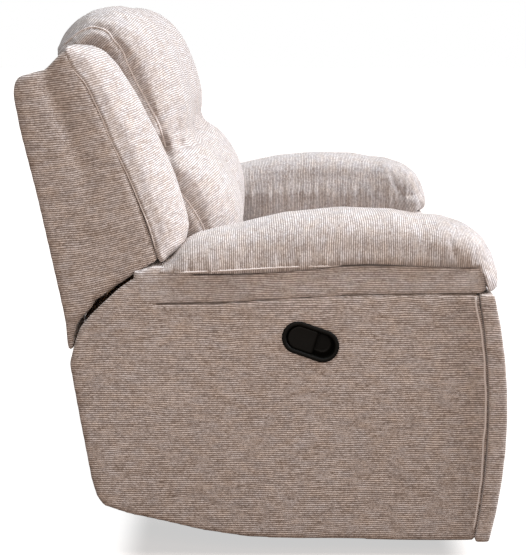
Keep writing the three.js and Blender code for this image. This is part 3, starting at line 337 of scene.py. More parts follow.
def apply_modifiers(thing):
    graph = bpy.context.evaluated_depsgraph_get()
    mesh = bpy.data.meshes.new_from_object(thing.evaluated_get(graph))
    thing.modifiers.clear()
    thing.data = mesh
    return thing


def places(mesh):
    co = np.empty(len(mesh.vertices) * 3)
    mesh.vertices.foreach_get("co", co)
    return co.reshape(-1, 3)


def set_places(mesh, co):
    mesh.vertices.foreach_set("co", co.astype(np.float32).ravel())
    mesh.update()


def normals(mesh):
    out = np.empty(len(mesh.vertices) * 3)
    mesh.vertex_normals.foreach_get("vector", out)
    return out.reshape(-1, 3)


SMOOTH_FACTOR = 0.5


def remesh(thing, voxel, smooth_steps):
    modifier = thing.modifiers.new("Remesh", "REMESH")
    modifier.mode = "VOXEL"
    modifier.voxel_size = voxel
    smooth = thing.modifiers.new("Smooth", "SMOOTH")
    smooth.factor = SMOOTH_FACTOR
    smooth.iterations = smooth_steps
    return apply_modifiers(thing)


PUFF_STEPS = 20


def puff(thing, pressure, cap, hold=None):
    """Cloth under pressure crowns the piece. Its box stays, and each point moves by little more than cap.

    Where hold gives 0 the points stay, and where it gives 1 they move in full.
    """
    before = places(thing.data)
    out = normals(thing.data)
    cloth = thing.modifiers.new("Cloth", "CLOTH")
    cloth.settings.quality = 5
    cloth.settings.mass = 0.3
    cloth.settings.tension_stiffness = 15
    cloth.settings.compression_stiffness = 15
    cloth.settings.shear_stiffness = 5
    cloth.settings.bending_stiffness = 0.5
    cloth.settings.use_pressure = True
    cloth.settings.uniform_pressure_force = pressure
    cloth.settings.effector_weights.gravity = 0
    cloth.collision_settings.use_collision = False
    cloth.collision_settings.use_self_collision = False
    scene = bpy.context.scene
    for step in range(1, PUFF_STEPS + 1):
        scene.frame_set(step)
    apply_modifiers(thing)
    scene.frame_set(1)
    shift = places(thing.data) - before
    swell = np.sum(shift * out, axis=1)
    shift -= out * np.median(swell)
    length = np.maximum(np.linalg.norm(shift, axis=1, keepdims=True), 1e-9)
    shift *= cap * np.tanh(length / cap) / length
    after = before + shift
    low, high = before.min(axis=0), before.max(axis=0)
    now_low, now_high = after.min(axis=0), after.max(axis=0)
    after = low + (after - now_low) * (high - low) / (now_high - now_low)
    if hold is not None:
        after = before + (after - before) * hold(before)[:, None]
    set_places(thing.data, after)
    return thing


def refine(thing):
    modifier = thing.modifiers.new("Subdivision", "SUBSURF")
    modifier.levels = 1
    modifier.render_levels = 1
    return apply_modifiers(thing)


RIPPLE_WAVES = 9


def ripples(co, wavelength, seed):
    """A smooth random field between about -1 and 1, from a few crossing waves."""
    random = np.random.default_rng(seed)
    total = np.zeros(len(co))
    for _ in range(RIPPLE_WAVES):
        way = random.normal(size=3)
        way /= np.linalg.norm(way)
        length = wavelength * random.uniform(0.7, 1.6)
        total += np.sin(co @ way * 2 * math.pi / length + random.uniform(0, 2 * math.pi))
    return total / 4


def crumple(thing, wavelength, height, seed):
    co = places(thing.data)
    set_places(thing.data, co + normals(thing.data) * (ripples(co, wavelength, seed) * height)[:, None])
    return thing


# Seams, on lines of (Y, Z) points

LINE_STEPS = 6


def smooth_line(points):
    """A smooth line through the points."""
    points = np.array(points, float)
    padded = np.vstack([2 * points[0] - points[1], points, 2 * points[-1] - points[-2]])
    line = []
    for k in range(len(points) - 1):
        p0, p1, p2, p3 = padded[k:k + 4]
        for t in np.linspace(0, 1, LINE_STEPS, endpoint=False):
            line.append(0.5 * (2 * p1 + (p2 - p0) * t + (2 * p0 - 5 * p1 + 4 * p2 - p3) * t ** 2
                               + (3 * p1 - p0 - 3 * p2 + p3) * t ** 3))
    line.append(points[-1])
    return np.array(line)


def back_line(shares):
    return smooth_line([back_point(*share) for share in shares])


def arm_line(shares):
    return smooth_line([arm_point(*share) for share in shares])


def nearest(line, co):
    """For each point: its distance from the line seen from the side, and how far along the line it lies."""
    yz = co[:, 1:]
    gap = np.full(len(yz), np.inf)
    run = np.zeros(len(yz))
    done = 0.0
    for start, end in zip(line[:-1], line[1:]):
        way = end - start
        length = np.linalg.norm(way)
        share = np.clip((yz - start) @ way / length ** 2, 0, 1)
        here = np.linalg.norm(yz - start - share[:, None] * way, axis=1)
        closer = here < gap
        gap[closer] = here[closer]
        run[closer] = done + share[closer] * length
        done += length
    return gap, run


def ahead_of(line, co):
    """Each point's distance from the line, counted as negative behind it. The line runs downwards."""
    gap, _ = nearest(line, co)
    middle = np.array([(start + end) / 2 for start, end in zip(line[:-1], line[1:])])
    ways = line[1:] - line[:-1]
    closest = np.argmin(np.linalg.norm(co[:, None, 1:] - middle[None], axis=2), axis=1)
    offset = co[:, 1:] - middle[closest]
    turn = ways[closest, 0] * offset[:, 1] - ways[closest, 1] * offset[:, 0]
    return np.where(turn > 0, gap, -gap)


FOLD_FACTORS = (1.0, 0.61, 1.37, 2.2)


def folds(run, pitch, seed):
    """Uneven folds along a seam."""
    random = np.random.default_rng(seed)
    total = np.zeros(len(run))
    for factor in FOLD_FACTORS:
        total += np.sin(run * factor * 2 * math.pi / pitch + random.uniform(0, 2 * math.pi)) / 2
    return total


SEAM_TURN_GAIN = 1.6
SIDE_SEAM_OFFSET = -0.25
ROUND_SEAM_START = 1.3


def sew(thing, line, depth, width, gather=0.0, pitch=0.03, reach=0.04, seed=1, fade=0.001):
    """Draws the cloth in along the line, with gathers that fade away from it, where the piece faces sideways.

    The seam runs out over the last stretch of the line, as long as fade.
    """
    mesh = thing.data
    co = places(mesh)
    out = normals(mesh)
    gap, run = nearest(line, co)
    left_over = (run.max() - run) / fade
    pull = depth * np.exp(-(gap / width) ** 2) * np.clip(left_over, 0, 1)
    if gather:
        pull = pull + gather * np.exp(-gap / reach) * folds(run, pitch, seed)
    sideways = np.clip(np.abs(out[:, 0]) * SEAM_TURN_GAIN + SIDE_SEAM_OFFSET, 0, 1)
    set_places(mesh, co - out * (pull * sideways)[:, None])
    return thing


def sew_round(thing, height, depth, width, gather, pitch, reach, seed):
    """Draws the cloth in all round the piece at one height, with gathers that fade away from it."""
    mesh = thing.data
    co = places(mesh)
    out = normals(mesh)
    gap = np.abs(co[:, 2] - height)
    pull = depth * np.exp(-(gap / width) ** 2)
    pull = pull + gather * np.exp(-gap / reach) * folds(co[:, 0] + co[:, 1], pitch, seed)
    upright = np.clip(ROUND_SEAM_START - np.abs(out[:, 2]) * SEAM_TURN_GAIN, 0, 1)
    set_places(mesh, co - out * (pull * upright)[:, None])
    return thing


def ease_sides(thing, line):
    """Rounds both sides of a back cushion ahead of its side seam, so that they turn towards the front."""
    co = places(thing.data)
    ahead = np.clip(ahead_of(line, co), 0, None)
    sideways = (np.abs(co[:, 0]) - BACK_MIDDLE) / BACK_HALF_WIDTH
    shift = np.minimum(SIDE_EASE * ahead ** 2, SIDE_EASE_LIMIT)
    shift *= np.sign(sideways) * np.clip(np.abs(sideways), 0, 1) ** 4
    co[:, 0] -= np.sign(co[:, 0]) * shift
    set_places(thing.data, co)
    return thing


WELT_SIDES = 8


def add_welt(thing, route, radius):
    """Joins a round welt along the route, a list of (X, Y, Z) points, to the piece. The welt is marked for
    the pale welt colour, which on the arm side panel's rolled front edge is a painted highlight.
    """
    route = np.array(route, float)
    way = np.gradient(route, axis=0)
    way /= np.linalg.norm(way, axis=1, keepdims=True)
    first = np.cross(way, (1.0, 0.0, 0.0))
    first /= np.linalg.norm(first, axis=1, keepdims=True)
    second = np.cross(way, first)
    made = bmesh.new()
    made.from_mesh(thing.data)
    thread_and_highlight = made.verts.layers.float.get("thread_and_highlight") or made.verts.layers.float.new("thread_and_highlight")
    rings = []
    for place, a, b in zip(route, first, second):
        ring = []
        for k in range(WELT_SIDES):
            angle = 2 * math.pi * k / WELT_SIDES
            vertex = made.verts.new(place + radius * (a * math.cos(angle) + b * math.sin(angle)))
            vertex[thread_and_highlight] = 1.0
            ring.append(vertex)
        rings.append(ring)
    for low, high in zip(rings[:-1], rings[1:]):
        for k in range(WELT_SIDES):
            n = (k + 1) % WELT_SIDES
            made.faces.new((low[k], low[n], high[n], high[k]))
    made.faces.new(rings[0][::-1])
    made.faces.new(rings[-1])
    made.to_mesh(thing.data)
    made.free()
    return thing


BESIDE_X = -2.0


def surface_route(thing, line):
    """The line laid on the piece's right face."""
    tree = BVHTree.FromObject(thing, bpy.context.evaluated_depsgraph_get())
    route = []
    for y, z in line:
        hit = tree.ray_cast(Vector((BESIDE_X, y, z)), Vector((1.0, 0.0, 0.0)))[0]
        if hit is not None:
            route.append((hit.x, y, z))
    return route


# Finishing a piece

def finish_piece(thing, nodes, weave):
    """Weave coordinates, material, body and slot of a piece that replaces CAD nodes."""
    mesh = thing.data
    attribute = mesh.attributes.new("weave", "FLOAT_VECTOR", "POINT")
    attribute.data.foreach_set("vector", weave(places(mesh)).astype(np.float32).ravel())
    slot = slot_of_node(nodes[0])
    mesh.materials.clear()
    mesh.materials.append(COVER_FINISHES[slot])
    mesh.polygons.foreach_set("use_smooth", np.ones(len(mesh.polygons), bool))
    mesh.polygons.foreach_set("material_index", np.zeros(len(mesh.polygons), np.int32))
    mesh.update()
    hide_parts(*nodes)
    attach(thing, body_of_node(nodes[0]))
    return thing


def mirrored(thing, name):
    mesh = thing.data.copy()
    co = places(mesh)
    co[:, 0] *= -1
    set_places(mesh, co)
    mesh.flip_normals()
    mesh.update()
    return new_object(name, mesh)


def both_sides(stems, make, weave):
    """Makes the right piece from its CAD nodes, mirrors it to the left, and finishes both."""
    stems = stems.split()
    right = make(*[f"{stem}_right" for stem in stems])
    left = mirrored(right, f"{stems[0]}_cover_left")
    right.name = f"{stems[0]}_cover_right"
    for side, thing in (("right", right), ("left", left)):
        finish_piece(thing, [f"{stem}_{side}" for stem in stems], weave)


def from_nodes(*nodes):
    """One mesh holding copies of the CAD nodes."""
    made = bmesh.new()
    for node in nodes:
        made.from_mesh(frame["nodes"][node].data)
    mesh = bpy.data.meshes.new(nodes[0] + "_soft")
    made.to_mesh(mesh)
    made.free()
    return new_object(nodes[0] + "_soft", mesh)


def merged(thing, mesh):
    """Adds a copy of the mesh to the piece."""
    made = bmesh.new()
    made.from_mesh(thing.data)
    made.from_mesh(mesh)
    made.to_mesh(thing.data)
    made.free()
    return thing


def softened(voxel, smooth_steps):
    """Makes a tight cover, which is remeshed and smoothed only."""
    def make(*nodes):
        return remesh(from_nodes(*nodes), voxel, smooth_steps)
    return make


# Weave directions: the first coordinate runs across the stripes, the second along them

def woven(across, along, co):
    return np.stack([across, along, co[:, 0]], 1)


def from_middle(co, middle_x):
    """How far each point lies sideways from the middle of its piece, on either side of the sofa."""
    return np.abs(np.abs(co[:, 0]) - middle_x)


def stripes_level(co):
    """Level stripes on every side."""
    return woven(co[:, 2], co[:, 1] + np.abs(co[:, 0]), co)


def stripes_upright(co):
    """Stripes across the top of a seat and down its front."""
    return woven(co[:, 1], co[:, 2] - from_middle(co, SEAT_MIDDLE), co)


def stripes_bowed(slope, bow=0.0, centre=0.0):
    """Stripes that rise towards the front by the slope, and more so ahead of the centre."""
    def weave(co):
        y = co[:, 1] - centre
        up = co[:, 2] + slope * y - bow * y ** 2 / 2
        return woven(up * math.cos(math.atan(slope)), -np.abs(co[:, 0]) - y, co)
    return weave


def stripes_fanned(start_y, foot_z, lean):
    """Upright stripes that lean back more and more ahead of the start."""
    def weave(co):
        y, z = co[:, 1], co[:, 2]
        ahead = np.maximum(start_y - y, 0)
        return woven(y - lean * ahead * (z - foot_z), z - from_middle(co, ARM_MIDDLE), co)
    return weave


def stripes_of_back_cushion(co):
    """Stripes that fan out over the head cushion, and rise evenly on the lumbar one below it."""
    y, z = co[:, 1] - FAN_CENTRE[0], co[:, 2] - FAN_CENTRE[1]
    fanned = woven(np.arctan2(z, y) * FAN_RADIUS, np.hypot(y, z) - from_middle(co, BACK_MIDDLE), co)
    rising = stripes_bowed(LUMBAR_STRIPE_SLOPE)(co)
    return np.where(co[:, 2:] > JUNCTION_Z, fanned, rising)


# Seam lines, seen from the side, as shares of the back's outline

PIPING_SHARES = [
    (0.371, 0.241), (0.405, 0.329), (0.444, 0.398), (0.505, 0.499), (0.569, 0.589), (0.605, 0.653),
    (0.640, 0.707), (0.682, 0.766), (0.732, 0.805), (0.777, 0.860),
]
WING_SEAM_SHARES = [
    (0.870, 0.850), (0.848, 0.800), (0.840, 0.755), (0.810, 0.708), (0.765, 0.637), (0.731, 0.569),
    (0.690, 0.480), (0.640, 0.370),
]
HEAD_SEAM_SHARES = [
    (0.833, 0.875), (0.769, 0.911), (0.715, 0.927), (0.676, 0.927), (0.629, 0.914), (0.599, 0.888),
    (0.561, 0.857), (0.531, 0.805), (0.486, 0.742), (0.440, 0.684), (0.394, 0.621), (0.365, 0.545),
]
LUMBAR_SEAM_SHARES = [
    (0.325, 0.460), (0.309, 0.416), (0.252, 0.368), (0.182, 0.287), (0.150, 0.200), (0.140, 0.060),
]

# Seam lines as shares of the arm's outline

PAD_SEAM_SHARES = [
    (0.814, 1.073), (0.673, 1.081), (0.458, 1.099), (0.281, 1.098), (0.170, 1.090), (0.018, 1.088),
]
TIP_GATHER_SHARES = [(0.055, 1.095), (0.020, 1.095), (-0.005, 1.110)]
PULL_CREASE_SHARES = [(0.101, 1.215), (0.091, 1.168), (0.076, 1.113)]

# The points of each seam line that its welt follows
PAD_WELT = slice(3, -8)
BOLSTER_WELT = slice(2, -1)
LUMBAR_WELT = slice(0, -6)

# How each seam draws the cloth in, and its gathers
PAD_SEAM = dict(depth=0.0, width=0.01, gather=0.0018, pitch=0.034, reach=0.022, seed=4)
TIP_GATHERS = dict(depth=0.003, width=0.006, gather=0.0022, pitch=0.013, reach=0.02, seed=6)
PULL_CREASE = dict(depth=0.0022, width=0.006)
WING_SEAM = dict(depth=0.006, width=0.016, fade=0.2)
BOLSTER_SEAM = dict(depth=0.0, width=0.01, gather=0.0006, pitch=0.03, reach=0.02, seed=8)
BACK_CUSHION_SEAM = dict(depth=0.005, width=0.008, gather=0.0008, pitch=0.03, reach=0.02, seed=10)
SEAT_SEAM = dict(depth=0.004, width=0.007, gather=0.001, pitch=0.04, reach=0.03, seed=14)

# Each cover's voxel size and smoothing steps
INNER_PANEL_MESH = (0.007, 2)
PAD_MESH = (0.0065, 4)
SIDE_PANEL_MESH = (0.005, 4)
BORDER_MESH = (0.005, 3)
FACING_MESH = (0.004, 3)
SHELL_MESH = (0.006, 5)
BOLSTER_MESH = (0.005, 4)
BACK_CUSHION_MESH = (0.007, 10)
SEAT_MESH = (0.008, 5)
OTTOMAN_MESH = (0.007, 4)
BOARD_MESH = (0.006, 2)
HANDLE_MESH = (0.0012, 4)

# The air pressure in each cushion, and about how far a point moves at most
PAD_AIR = (4, 0.006)
BOLSTER_AIR = (6, 0.007)
BACK_CUSHION_AIR = (5, 0.010)
SEAT_AIR = (5, 0.018)
OTTOMAN_AIR = (4, 0.010)

# The length and height of each cover's ripples
PAD_RIPPLES = (0.22, 0.0016)
SIDE_PANEL_RIPPLES = (0.30, 0.0010)
BOLSTER_RIPPLES = (0.16, 0.0012)
BACK_CUSHION_RIPPLES = (0.2, 0.0016)
SEAT_RIPPLES = (0.24, 0.002)
OTTOMAN_RIPPLES = (0.2, 0.0014)

# The slope, bow and centre of each curved run of stripes
SHELL_STRIPES = (0.15, 1.2, 0.35)
BOLSTER_STRIPES = (0.40, 1.0, 0.28)
LUMBAR_STRIPE_SLOPE = 0.7
FAN_CENTRE = (0.62, 0.70)
FAN_RADIUS = 0.45
PAD_FAN_START_Y = -0.33
PAD_FAN_FOOT_Z = 0.53
PAD_FAN_LEAN = 4.0


def ramped(distance, length):
    """0 up to a distance of 0, and from there an even rise to 1 over the length."""
    return np.clip(distance / length, 0, 1)


# Arms. In these functions x, y and z are views of co, so what is added to them moves the points.

OUTER_X = -0.70

INNER_PANEL_STRETCH = 0.035
INNER_PANEL_STRETCH_RAMP = 0.05
INNER_PANEL_REACH = 0.034
INNER_PANEL_REACH_Z = 0.49
INNER_PANEL_REACH_RAMP = 0.03
INNER_PANEL_FRONT = -0.34
INNER_PANEL_FRONT_RAMP = 0.06

LIP_Z = 0.556
LIP_INNER_X = -0.565
LIP_RISE = 0.9
LIP_FRONT = -0.430
LIP_FRONT_RAMP = 0.012

PAD_SEAM_Z = 0.562
PAD_HOLD_RAMP = 0.05
PAD_TIP_SWELL = 0.010
PAD_TIP_START = -0.30
PAD_TIP_RAMP = 0.08
PAD_TIP_RISE_RAMP = 0.04
PAD_HALF_WIDTH = 0.108
PAD_TAPER = 0.16
PAD_TAPER_START = -0.32
PAD_TAPER_RAMP = 0.12
PAD_TAPER_Z = 0.545
PAD_TAPER_RISE_RAMP = 0.03
PAD_TIP_TURN = 0.012
PAD_TURN_START = -0.40
PAD_TURN_RAMP = 0.05
PAD_LOW_SWELL = 0.004
PAD_LOW_Z = 0.60
PAD_LOW_RAMP = 0.04
PAD_WELT_RISE = 0.007


def drawn_up_panel(node):
    """The arm's inner side, drawn up into the pad, and forward below the pad's tip."""
    panel = remesh(from_nodes(node), *INNER_PANEL_MESH)
    co = places(panel.data)
    _, y, z = co.T
    z += INNER_PANEL_STRETCH * (1 - ramped(z.max() - z, INNER_PANEL_STRETCH_RAMP))
    forward = ramped(z - INNER_PANEL_REACH_Z, INNER_PANEL_REACH_RAMP)
    y -= INNER_PANEL_REACH * forward * ramped(INNER_PANEL_FRONT - y, INNER_PANEL_FRONT_RAMP)
    set_places(panel.data, co)
    return panel


def shape_pad_tip(pad):
    """Swells the pad's front end, narrows it, turns it round its corners, and swells the pad's lower side."""
    co = places(pad.data)
    x, y, z = co.T
    crown = ramped(PAD_TIP_START - y, PAD_TIP_RAMP) * ramped(z - PAD_SEAM_Z, PAD_TIP_RISE_RAMP)
    co += normals(pad.data) * (PAD_TIP_SWELL * crown)[:, None]
    across = ramped(from_middle(co, ARM_MIDDLE), PAD_HALF_WIDTH)
    narrowing = ramped(PAD_TAPER_START - y, PAD_TAPER_RAMP) ** 2
    narrowing *= ramped(z - PAD_TAPER_Z, PAD_TAPER_RISE_RAMP)
    x[:] = -ARM_MIDDLE + (x + ARM_MIDDLE) * (1 - PAD_TAPER * narrowing)
    y += PAD_TIP_TURN * across ** 4 * ramped(PAD_TURN_START - y, PAD_TURN_RAMP)
    x -= PAD_LOW_SWELL * (x < OUTER_X) * ramped(PAD_LOW_Z - z, PAD_LOW_RAMP)
    set_places(pad.data, co)


def arm_pad(pad_node, panel_node):
    """The pad and the arm's inner side are one cover. A raised lip along the outer side clears the band."""
    panel = drawn_up_panel(panel_node)
    pad = merged(from_nodes(pad_node), panel.data)
    bpy.data.objects.remove(panel)
    remesh(pad, *PAD_MESH)
    co = places(pad.data)
    x, y, z = co.T
    lip = (z < LIP_Z) & (x < LIP_INNER_X)
    raised = LIP_RISE * ramped(y - LIP_FRONT, LIP_FRONT_RAMP)
    z += np.where(lip, (LIP_Z - z) * raised, 0)
    set_places(pad.data, co)
    puff(pad, *PAD_AIR, lambda co: ramped(co[:, 2] - PAD_SEAM_Z, PAD_HOLD_RAMP))
    shape_pad_tip(pad)
    refine(pad)
    crumple(pad, *PAD_RIPPLES, seed=3)
    seam = arm_line(PAD_SEAM_SHARES)
    sew(pad, seam, **PAD_SEAM)
    sew(pad, arm_line(TIP_GATHER_SHARES), **TIP_GATHERS)
    sew(pad, arm_line(PULL_CREASE_SHARES), **PULL_CREASE)
    return add_welt(pad, surface_route(pad, seam[PAD_WELT] + np.array([0.0, PAD_WELT_RISE])), WELT_RADIUS)


# The roll over the arm side panel's front edge, drawn in the pale welt colour as a painted highlight on an
# edge that sits in shade beside the facing
EDGE_ROLL_RADIUS = 0.0022
EDGE_ROLL_INSET = 0.004
EDGE_ROLL_HEIGHTS = np.linspace(0.05, 0.508, 60)
FACE_DEPTH = 0.004
LEVEL_REACH = 0.006
ROUTE_SMOOTHING = 3


def front_edge_route(thing, inset, heights):
    """A route up the front edge of the piece's outer face."""
    co = places(thing.data)
    face = co[co[:, 0] < co[:, 0].min() + FACE_DEPTH]
    route = []
    for height in heights:
        level = face[np.abs(face[:, 2] - height) < LEVEL_REACH]
        route.append((level[:, 0].mean(), level[:, 1].min() + inset, height))
    route = np.array(route)
    for _ in range(ROUTE_SMOOTHING):
        route[1:-1] = (route[:-2] + 2 * route[1:-1] + route[2:]) / 4
    return route


def arm_side_panel(node):
    """The cloth is rolled over the panel's front edge. The roll takes the pale welt colour, a painted
    highlight on an edge that sits in shade beside the facing.
    """
    panel = remesh(from_nodes(node), *SIDE_PANEL_MESH)
    crumple(panel, *SIDE_PANEL_RIPPLES, seed=5)
    return add_welt(panel, front_edge_route(panel, EDGE_ROLL_INSET, EDGE_ROLL_HEIGHTS), EDGE_ROLL_RADIUS)


BORDER_FRONT_START = -0.37
BORDER_FRONT_RAMP = 0.03
BORDER_FRONT_STRETCH = 0.026
BORDER_CORNER = 0.006
BORDER_INNER_X = -0.615
BORDER_INNER_RAMP = 0.05
BORDER_INNER_SHARE = 0.5
BORDER_REAR_START = 0.13
BORDER_REAR_RAMP = 0.05
BORDER_REAR_STRETCH = 0.024
BORDER_REAR_PROUD = 0.0068
BORDER_REAR_RISE = 0.014
BORDER_RISE_PLACES = (0.13, 0.17, 0.21, 0.235)
BORDER_RISE_SHARES = (0, 1, 1, 0.45)
BORDER_END_RAMP = 0.012
BORDER_OUTER_RAMP = 0.03
BORDER_PROUD = 0.005
BORDER_HOLLOW = 0.004
BORDER_LOW_RAMP = 0.03
BORDER_HIGH_RAMP = 0.02


def arm_border(node):
    """The band is stretched forward under the pad's tip.

    Under the wing it rises and stands out, and its rear end turns in again.
    """
    band = remesh(from_nodes(node), *BORDER_MESH)
    co = places(band.data)
    x, y, z = co.T
    middle = (z.min() + z.max()) / 2
    front = ramped(BORDER_FRONT_START - y, BORDER_FRONT_RAMP)
    rear = ramped(y - BORDER_REAR_START, BORDER_REAR_RAMP)
    low = ramped(middle - z, BORDER_LOW_RAMP)
    high = ramped(z - middle, BORDER_HIGH_RAMP)
    outer = ramped(OUTER_X - x, BORDER_OUTER_RAMP)
    end = 1 - ramped(y.max() - y, BORDER_END_RAMP)
    x += outer * (BORDER_HOLLOW * low * (1 - rear) * (1 - front) - BORDER_REAR_PROUD * rear * (1 - end ** 2))
    x += outer * BORDER_CORNER * front ** 3
    held = 1 - BORDER_INNER_SHARE * ramped(x - BORDER_INNER_X, BORDER_INNER_RAMP)
    y += BORDER_REAR_STRETCH * rear ** 2 - BORDER_FRONT_STRETCH * front ** 2 * held
    z += BORDER_REAR_RISE * high * np.interp(y, BORDER_RISE_PLACES, BORDER_RISE_SHARES)
    x -= outer * BORDER_PROUD * (1 - rear)
    set_places(band.data, co)
    return refine(band)


FACING_ROUND_X = -0.736
FACING_ROUND = 0.024
FACING_ROUND_POWER = 0.2
FACING_SHOULDER_DROP = 0.018
FACING_SHOULDER_Y = -0.436
FACING_SHOULDER_RAMP = 0.03
FACING_SHOULDER_Z = 0.46
FACING_SHOULDER_RISE_RAMP = 0.05


def arm_facing(node):
    """The facing's outer edge is filled out, and its upper front corner drops a little."""
    facing = remesh(from_nodes(node), *FACING_MESH)
    co = places(facing.data)
    x, y, z = co.T
    outward = ramped(FACING_ROUND_X - x, FACING_ROUND)
    x[:] = np.where(outward > 0, FACING_ROUND_X - FACING_ROUND * outward ** FACING_ROUND_POWER, x)
    shoulder = ramped(FACING_SHOULDER_Y - y, FACING_SHOULDER_RAMP) ** 2
    z -= FACING_SHOULDER_DROP * shoulder * ramped(z - FACING_SHOULDER_Z, FACING_SHOULDER_RISE_RAMP)
    set_places(facing.data, co)
    return facing


# Backs

# The lower rear tip of the wing's frame
SHELL_TIP_Z = 0.460
SHELL_TIP_RISE_RAMP = 0.03
SHELL_TIP_Y = 0.352
SHELL_TIP_RAMP = 0.012
SHELL_TIP_DROP = 0.026
SHELL_TIP_X = -0.7245
SHELL_TIP_INNER_X = -0.545


def back_shell(*nodes):
    """The rear panel and the wing are one cover, with a low tip over the arm's rear corner."""
    shell = remesh(from_nodes(*nodes), *SHELL_MESH)
    co = places(shell.data)
    x, y, z = co.T
    tip = ramped(SHELL_TIP_Z - z, SHELL_TIP_RISE_RAMP) * ramped(y - SHELL_TIP_Y, SHELL_TIP_RAMP)
    tip *= x < SHELL_TIP_INNER_X
    z -= SHELL_TIP_DROP * tip
    x[:] = np.where(tip > 0, np.maximum(x, SHELL_TIP_X), x)
    set_places(shell.data, co)
    return sew(shell, back_line(WING_SEAM_SHARES), **WING_SEAM)


BOLSTER_FILL_X = -0.722
BOLSTER_FILL_RADIUS = 0.009
BOLSTER_FILL_LEAD = 0.7
BOLSTER_TURN_X = -0.62
BOLSTER_TURN_RAMP = 0.1
BOLSTER_SLOPE = 0.10
BOLSTER_LOW_Z = 0.66
BOLSTER_LOW_RAMP = 0.06
BOLSTER_SEAM_RAMP = 0.04
BOLSTER_SAG = 0.015
BOLSTER_SAG_LEAD = 0.5


def wing_bolster(node):
    """The pad meets the wing at its piping, and its outer face turns from there towards the front."""
    seam = back_line(PIPING_SHARES)
    pad = from_nodes(node)
    fill = [(BOLSTER_FILL_X, y - BOLSTER_FILL_RADIUS * BOLSTER_FILL_LEAD, z) for y, z in seam]
    add_welt(pad, fill, BOLSTER_FILL_RADIUS)
    remesh(pad, *BOLSTER_MESH)
    puff(pad, *BOLSTER_AIR, lambda co: ramped(ahead_of(seam, co), BOLSTER_SEAM_RAMP))
    co = places(pad.data)
    x, y, z = co.T
    ahead = np.clip(ahead_of(seam, co), 0, None)
    x += BOLSTER_SLOPE * ahead * ramped(BOLSTER_TURN_X - x, BOLSTER_TURN_RAMP)
    low = ramped(BOLSTER_LOW_Z - z, BOLSTER_LOW_RAMP) * ramped(ahead, BOLSTER_SEAM_RAMP)
    y -= BOLSTER_SAG_LEAD * BOLSTER_SAG * low
    z -= BOLSTER_SAG * low
    set_places(pad.data, co)
    refine(pad)
    crumple(pad, *BOLSTER_RIPPLES, seed=7)
    sew(pad, seam, **BOLSTER_SEAM)
    return add_welt(pad, surface_route(pad, seam[BOLSTER_WELT]), WELT_RADIUS)


# Where the head cushion meets the lumbar one, and how far both are set back from their CAD fronts
JUNCTION_Z = 0.767
JUNCTION_REACH = 0.07
JUNCTION_FRONT = 0.165
JUNCTION_REAR = 0.33
JUNCTION_INSET = 0.03
RECESS_HEIGHTS = (0.76, 0.80)
RECESSES = (0.001, 0.024)
RECESS_REAR = 0.30
RECESS_RAMP = 0.15
SIDE_EASE = 9.0
SIDE_EASE_LIMIT = 0.05


def junction_block():
    """Stuffing that joins the head cushion to the lumbar one, from side to side."""
    made = bmesh.new()
    bmesh.ops.create_cube(made, size=1.0)
    for vertex in made.verts:
        vertex.co.x = -BACK_MIDDLE + vertex.co.x * 2 * (BACK_HALF_WIDTH - JUNCTION_INSET)
        vertex.co.y = (JUNCTION_FRONT + JUNCTION_REAR) / 2 + vertex.co.y * (JUNCTION_REAR - JUNCTION_FRONT)
        vertex.co.z = JUNCTION_Z + vertex.co.z * 2 * JUNCTION_REACH
    mesh = bpy.data.meshes.new("junction")
    made.to_mesh(mesh)
    made.free()
    return mesh


def back_cushion(*nodes):
    """The head and the lumbar cushion are one cover, with a seam and a welt round their outer side."""
    pad = merged(from_nodes(*nodes), junction_block())
    remesh(pad, *BACK_CUSHION_MESH)
    puff(pad, *BACK_CUSHION_AIR)
    co = places(pad.data)
    _, y, z = co.T
    y += np.interp(z, RECESS_HEIGHTS, RECESSES) * ramped(RECESS_REAR - y, RECESS_RAMP)
    set_places(pad.data, co)
    refine(pad)
    head_seam = back_line(HEAD_SEAM_SHARES)
    lumbar_seam = back_line(LUMBAR_SEAM_SHARES)
    side_seam = np.vstack([head_seam, lumbar_seam])
    ease_sides(pad, side_seam)
    crumple(pad, *BACK_CUSHION_RIPPLES, seed=9)
    sew(pad, side_seam, **BACK_CUSHION_SEAM)
    add_welt(pad, surface_route(pad, head_seam), WELT_RADIUS)
    return add_welt(pad, surface_route(pad, lumbar_seam[LUMBAR_WELT]), WELT_RADIUS)


# Seats

SEAT_SEAM_SHARES = (0.30, 0.74)


def seat_cushion(node):
    """A seam runs round the cushion at two heights."""
    pad = remesh(from_nodes(node), *SEAT_MESH)
    puff(pad, *SEAT_AIR)
    refine(pad)
    crumple(pad, *SEAT_RIPPLES, seed=13)
    low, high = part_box(node)
    for share in SEAT_SEAM_SHARES:
        sew_round(pad, low[2] + share * (high[2] - low[2]), **SEAT_SEAM)
    return pad


def ottoman_pad(node):
    pad = remesh(from_nodes(node), *OTTOMAN_MESH)
    puff(pad, *OTTOMAN_AIR)
    refine(pad)
    return crumple(pad, *OTTOMAN_RIPPLES, seed=15)


# Every piece that a cover replaces, and the finishes of the others

